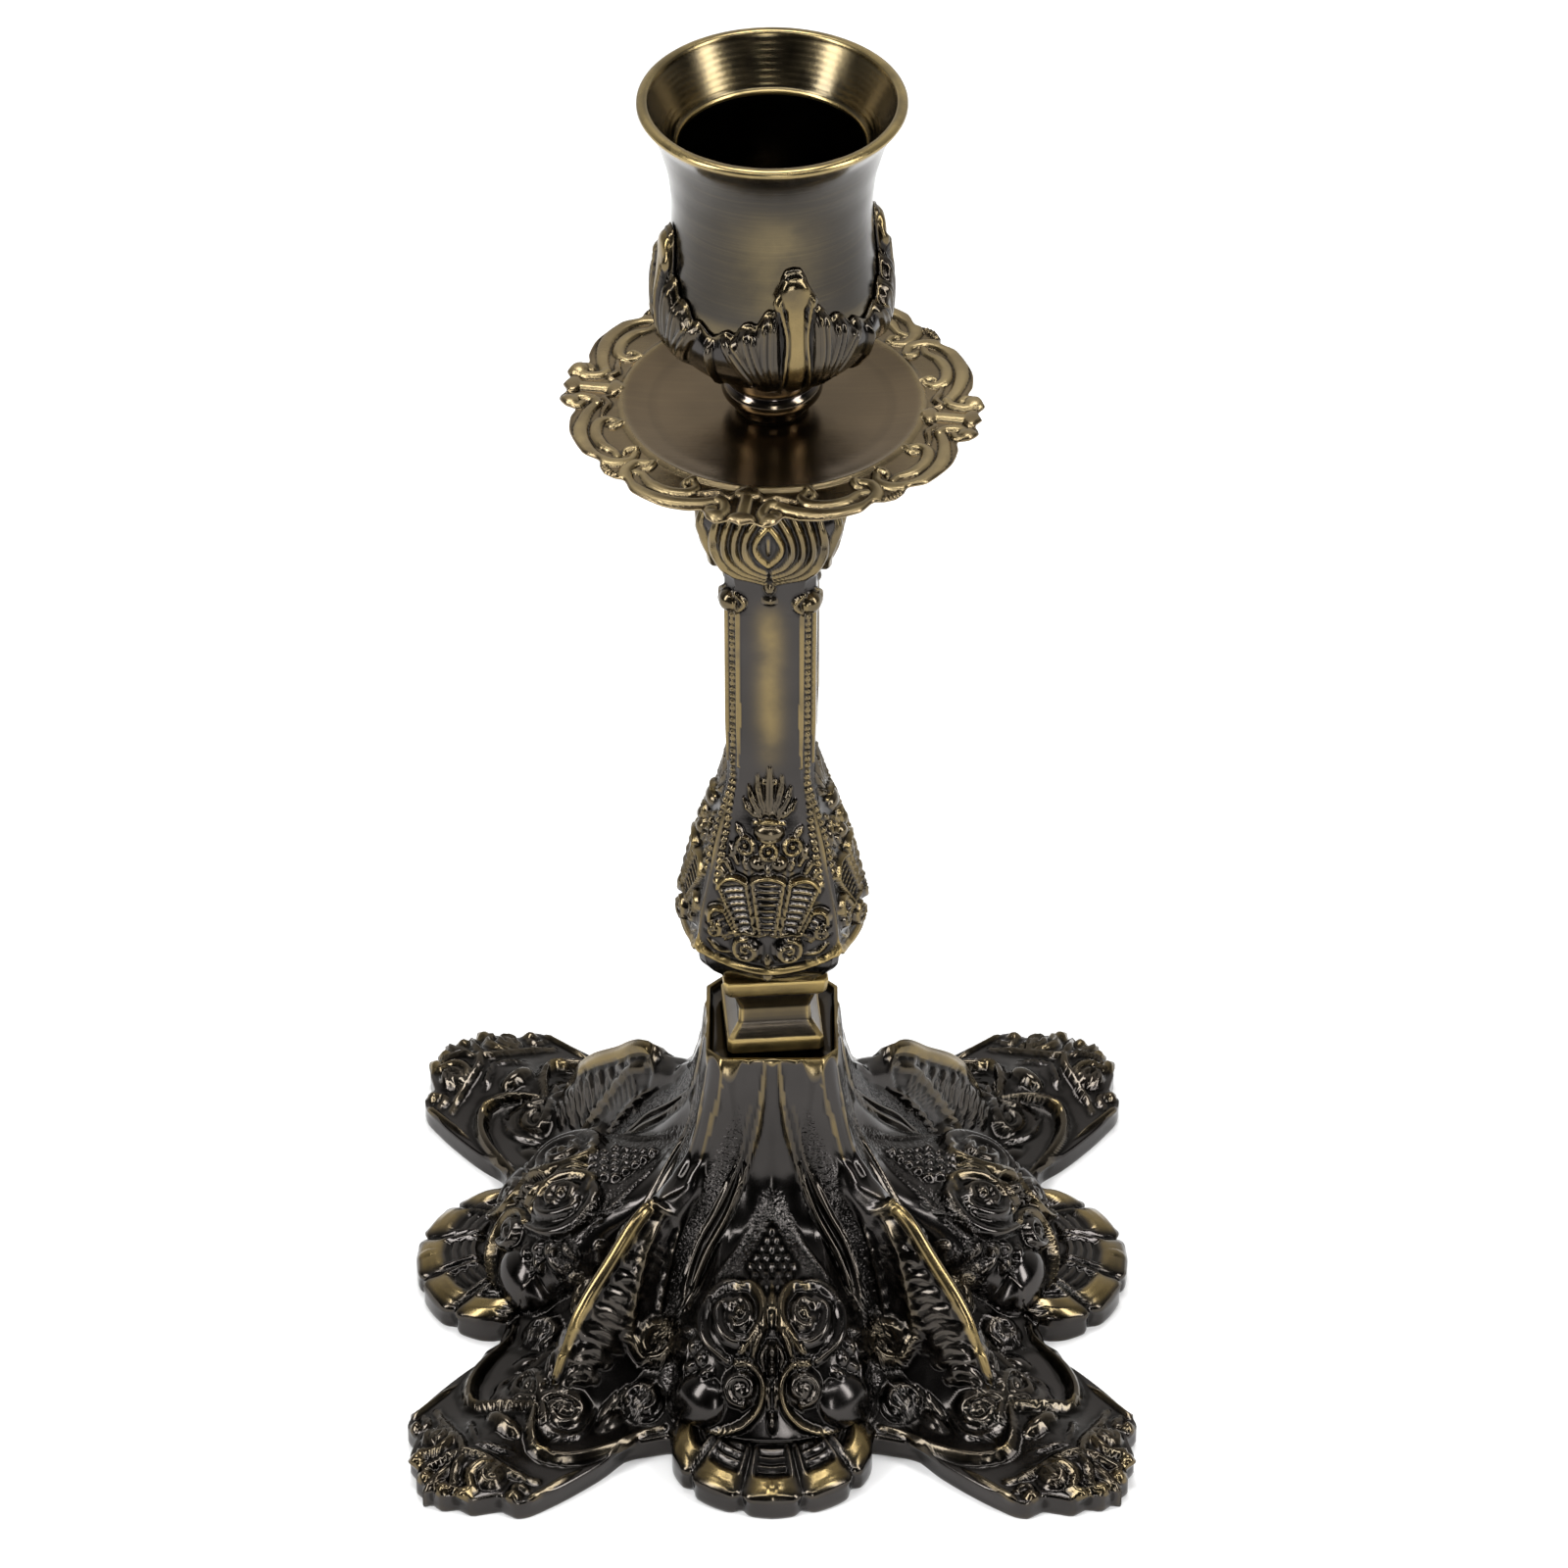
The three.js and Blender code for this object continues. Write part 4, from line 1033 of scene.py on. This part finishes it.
CALYX_FOOT = 152
CALYX_MM = 0.25           # millimetres round the shell for each degree
CALYX_GAP = 0.1           # between the shell and the cup
CALYX_EDGE = [  # degrees from a leaf's middle, height
    [0, 167.2], [4, 167.0], [7, 165.9], [8.8, 164.0], [9.6, 162.4], [11.2, 161.6], [13.5, 161.7],
    [16, 161.3], [18.6, 160.3], [20.6, 159.7], [23.5, 159.9], [27, 159.7], [30, 158.9], [32.5, 158.1],
    [36, 158.3], [39.5, 157.9], [42.5, 157.3], [45, 157.0],
]
CALYX_SKIN = [[152, 1.3], [154.3, 1.2], [158, 1.0], [163.5, 1.0], [167.2, 0.8]]
CALYX_UNDER = [(6.4, 147.25), (8.2, 147.8), (9.8, 148.5), (11.3, 149.5), (12.0, 150.3), (12.45, 151.2)]
CALYX_LINING = [(10.95, 150.2), (8.8, 148.75), (6.2, 148.2), (BORE, 148.2)]


def calyx_relief(leaf):
    """A spoon-headed rib on each leaf, with ribbed leaflets fanned out beside it."""
    spoon = ((0, 148.5), (0, 152), (0, 155), (0, 158), (0, 161.5), (0, 165.0))
    rail = ((2.0, 148.5), (1.8, 151.0), (1.4, 155.0), (1.2, 158.6), (1.7, 161.6), (2.15, 163.8),
            (1.8, 165.9), (0, 166.7))
    leaf.stroke(spoon, 2.3, 0.5, 0.5, (1, 1), power=0.3)
    leaf.blob((0, 164.1), (2.0, 2.4), 0.5, 0.5, power=0.3)
    leaf.stroke(rail, 0.75, 0.85, 0.03, (1, 1))
    for degrees, tip, width in ((14, 162.6, 3.0), (26, 160.9, 3.2), (38, 159.2, 3.2)):
        across = degrees * CALYX_MM
        root, bend = (1.9 + across * 0.2, 149.6), (1.6 + across * 0.55, 155.0)
        leaf.stroke([root, bend, (across, tip)], width, 0.85, 0.08, (0.5, 0.8), power=0.7,
                    section=lambda a: 1 - 0.35 * bell(a, 0.12) - 0.2 * bell(np.abs(a) - 0.5, 0.12))
    leaf.stroke([(11.25, 149.5), (11.25, 153), (11.25, 158.2)], 1.4, 0.7, 0.1, (0.7, 0.6))


def leaf_calyx():
    fine, coarse = 512, 256
    bottom = low("leaf_calyx")

    def wall(count, share, skin_share):
        edge = smooth(CALYX_EDGE, folded(around(count)))
        height = mix(CALYX_FOOT, edge, share)
        thick = smooth(CALYX_SKIN, height) * skin_share * mix(0.3, 1, ease(edge - height, 0, 2.2))
        return ring(smooth(CUP_OUTSIDE, height) + CALYX_GAP + thick, height, count)

    outside = [wall(fine, share, 1) for share in np.linspace(0, 0.985, 66)]
    lip = [wall(fine, 1.0, 0.75), wall(fine, 1.0, 0.3)]
    inside = [wall(coarse, share, 0) for share in np.linspace(0.98, 0, 10)]
    under = lathe(CALYX_UNDER, fine)
    lining = lathe(CALYX_LINING, coarse)
    rows = [ring(BORE, bottom, fine), *under, *outside, *lip, *inside, *lining]
    points, faces = skin(rows)
    shown = np.zeros(len(points), bool)
    shown[fine:fine * (1 + len(under) + len(outside))] = True
    turn = folded(np.degrees(np.arctan2(points[:, 1], points[:, 0])))
    leaf = Relief(turn * CALYX_MM, points[:, 2])
    calyx_relief(leaf)
    edge = smooth(CALYX_EDGE, turn) - points[:, 2]
    gilt = np.maximum(leaf.gilt, 0.3 * bell(edge - 0.35, 0.4)) * shown
    height = leaf.height * shown * ease(points[:, 2], 147.6, 150.6) * ease(edge, 0.1, 1.5)
    points = points + normals(points, faces) * height[:, None]
    piece("leaf_calyx", points, faces, CARVED, CUP_TURN, gilt=gilt)


cup_collar()
candle_cup()
leaf_calyx()


# ---- rod, washers and nuts ----
NUT_FLAT = 3.5            # axis to a flat
ROD_RADIUS = 2.0
PITCH = 0.7
THREAD_DEPTH = 0.35


def washer(name):
    bottom, top = low(name), high(name)
    profile = rounded([(BORE, bottom), (5.5, bottom), (5.5, top), (BORE, top)], 0.15)
    points, faces = skin(lathe(profile, 72))
    piece(name, points, faces, STEEL, sharp=40)


def nut(name, turn):
    bottom, top = low(name), high(name)
    count = 96
    hexagon = NUT_FLAT / np.cos(np.radians(around(count) % 60 - 30))
    bevel = 0.5

    def face(height, spare):
        return ring(np.minimum(hexagon, NUT_FLAT - 0.1 + spare * 1.6), height, count)

    rows = [ring(BORE, bottom, count)]
    rows += [face(bottom + bevel * share, bevel * share) for share in (0, 0.35, 0.7, 1)]
    rows += [face(top - bevel * share, bevel * share) for share in (1, 0.7, 0.35, 0)]
    rows += [ring(BORE, top, count)]
    points, faces = skin(rows)
    piece(name, points, faces, STEEL, turn, sharp=30)


def lock_washer():
    bottom, top = low("lock_washer"), high("lock_washer")
    section = rounded([(BORE, bottom), (3.6, bottom), (3.6, top), (BORE, top)], 0.12, 3)
    slit = 12
    rows = []
    for degrees in np.linspace(slit, 360, 80):
        rows.append(np.array([[*polar(radius, degrees), height] for radius, height in section]))
    points, faces = skin(rows, closed=False)
    size = len(section)
    caps = (range(size), range(len(points) - 1, len(points) - 1 - size, -1))
    piece("lock_washer", points, faces, STEEL, sharp=40, caps=caps)


def tie_rod():
    bottom, top = low("tie_rod"), high("tie_rod")
    count = 32
    turn = around(count) / 360
    rows = []
    low_thread, plain_shank = np.arange(bottom, 45, 0.1), np.linspace(45.5, 147, 24)
    for height in [*low_thread, *plain_shank, *np.arange(147.5, top, 0.1), top]:
        phase = (height / PITCH - turn) % 1
        cut = THREAD_DEPTH * np.abs(2 * phase - 1) * (ease(height, 45, 44) + ease(height, 147, 148))
        chamfer = 0.5 * (ease(height, bottom + 0.6, bottom) + ease(height, top - 0.6, top))
        rows.append(ring(ROD_RADIUS - np.maximum(cut, chamfer), height, count))
    points, faces = skin(rows, closed=False)
    caps = (range(count - 1, -1, -1), range(len(points) - count, len(points)))
    piece("tie_rod", points, faces, STEEL, sharp=50, caps=caps)


washer("base_washer")
washer("cup_washer")
nut("base_nut", 10)
nut("cup_nut", 25)
lock_washer()
tie_rod()


# ---- floor, light and camera ----
def floor():
    size = 3.0
    corners = [(-size, -size, 0), (size, -size, 0), (size, size, 0), (-size, size, 0)]
    mesh = bpy.data.meshes.new("floor_mesh")
    mesh.from_pydata(corners, [], [(0, 1, 2, 3)])
    made = bpy.data.objects.new("floor", mesh)
    material = bpy.data.materials.new("floor_white")
    material.use_nodes = True
    shader = material.node_tree.nodes["Principled BSDF"]
    shader.inputs["Base Color"].default_value = (0.93, 0.93, 0.93, 1)
    shader.inputs["Roughness"].default_value = 0.9
    mesh.materials.append(material)
    bpy.context.scene.collection.objects.link(made)


def softbox(name, place, target, size, power):
    """An area light that faces the target."""
    light = bpy.data.lights.new(name, "AREA")
    light.shape = "RECTANGLE"
    light.size, light.size_y = size
    light.energy = power
    made = bpy.data.objects.new(name, light)
    bpy.context.scene.collection.objects.link(made)
    made.location = place
    direction = made.location - Vector(target)
    made.rotation_euler = direction.to_track_quat("Z", "Y").to_euler()


def studio():
    """A bright wall behind, dark on the camera's side, with a tall softbox on each side, two
    overhead and a weak one in front."""
    world = bpy.data.worlds.new("studio")
    world.use_nodes = True
    tree = world.node_tree
    way = node(tree, "SeparateXYZ", {0: node(tree, "TexCoord").outputs["Generated"]})
    back = ramp(tree, way.outputs[1], -0.1, 0.75, 0.02, 0.85)
    tree.nodes["Background"].inputs[0].default_value = (1, 0.98, 0.95, 1)
    tree.links.new(back, tree.nodes["Background"].inputs[1])
    bpy.context.scene.world = world
    middle = (0, 0, 0.08)
    softbox("key_left", (-0.8, -0.5, 0.75), middle, (0.28, 0.9), 11)
    softbox("key_right", (0.85, -0.45, 0.65), middle, (0.24, 0.9), 9)
    softbox("top", (0.0, 0.2, 1.15), middle, (0.5, 0.35), 7)
    softbox("overhead", (0.0, -0.75, 1.25), middle, (1.2, 0.14), 6)
    softbox("front", (0.1, -1.2, 0.3), middle, (0.15, 0.5), 2.5)


def camera():
    """The photo's view, from in front and 37.8 degrees above."""
    made = bpy.data.cameras.new("camera")
    made.lens = 182.64
    made.sensor_width = 36
    made.shift_x = 0.0076
    made.clip_start, made.clip_end = 0.05, 20
    holder = bpy.data.objects.new("camera", made)
    holder.location = (0, -0.78406, 0.68958)
    holder.rotation_euler = (math.radians(52.216), 0, 0)
    bpy.context.scene.collection.objects.link(holder)
    bpy.context.scene.camera = holder


floor()
studio()
camera()
bpy.context.scene.view_settings.view_transform = "Standard"
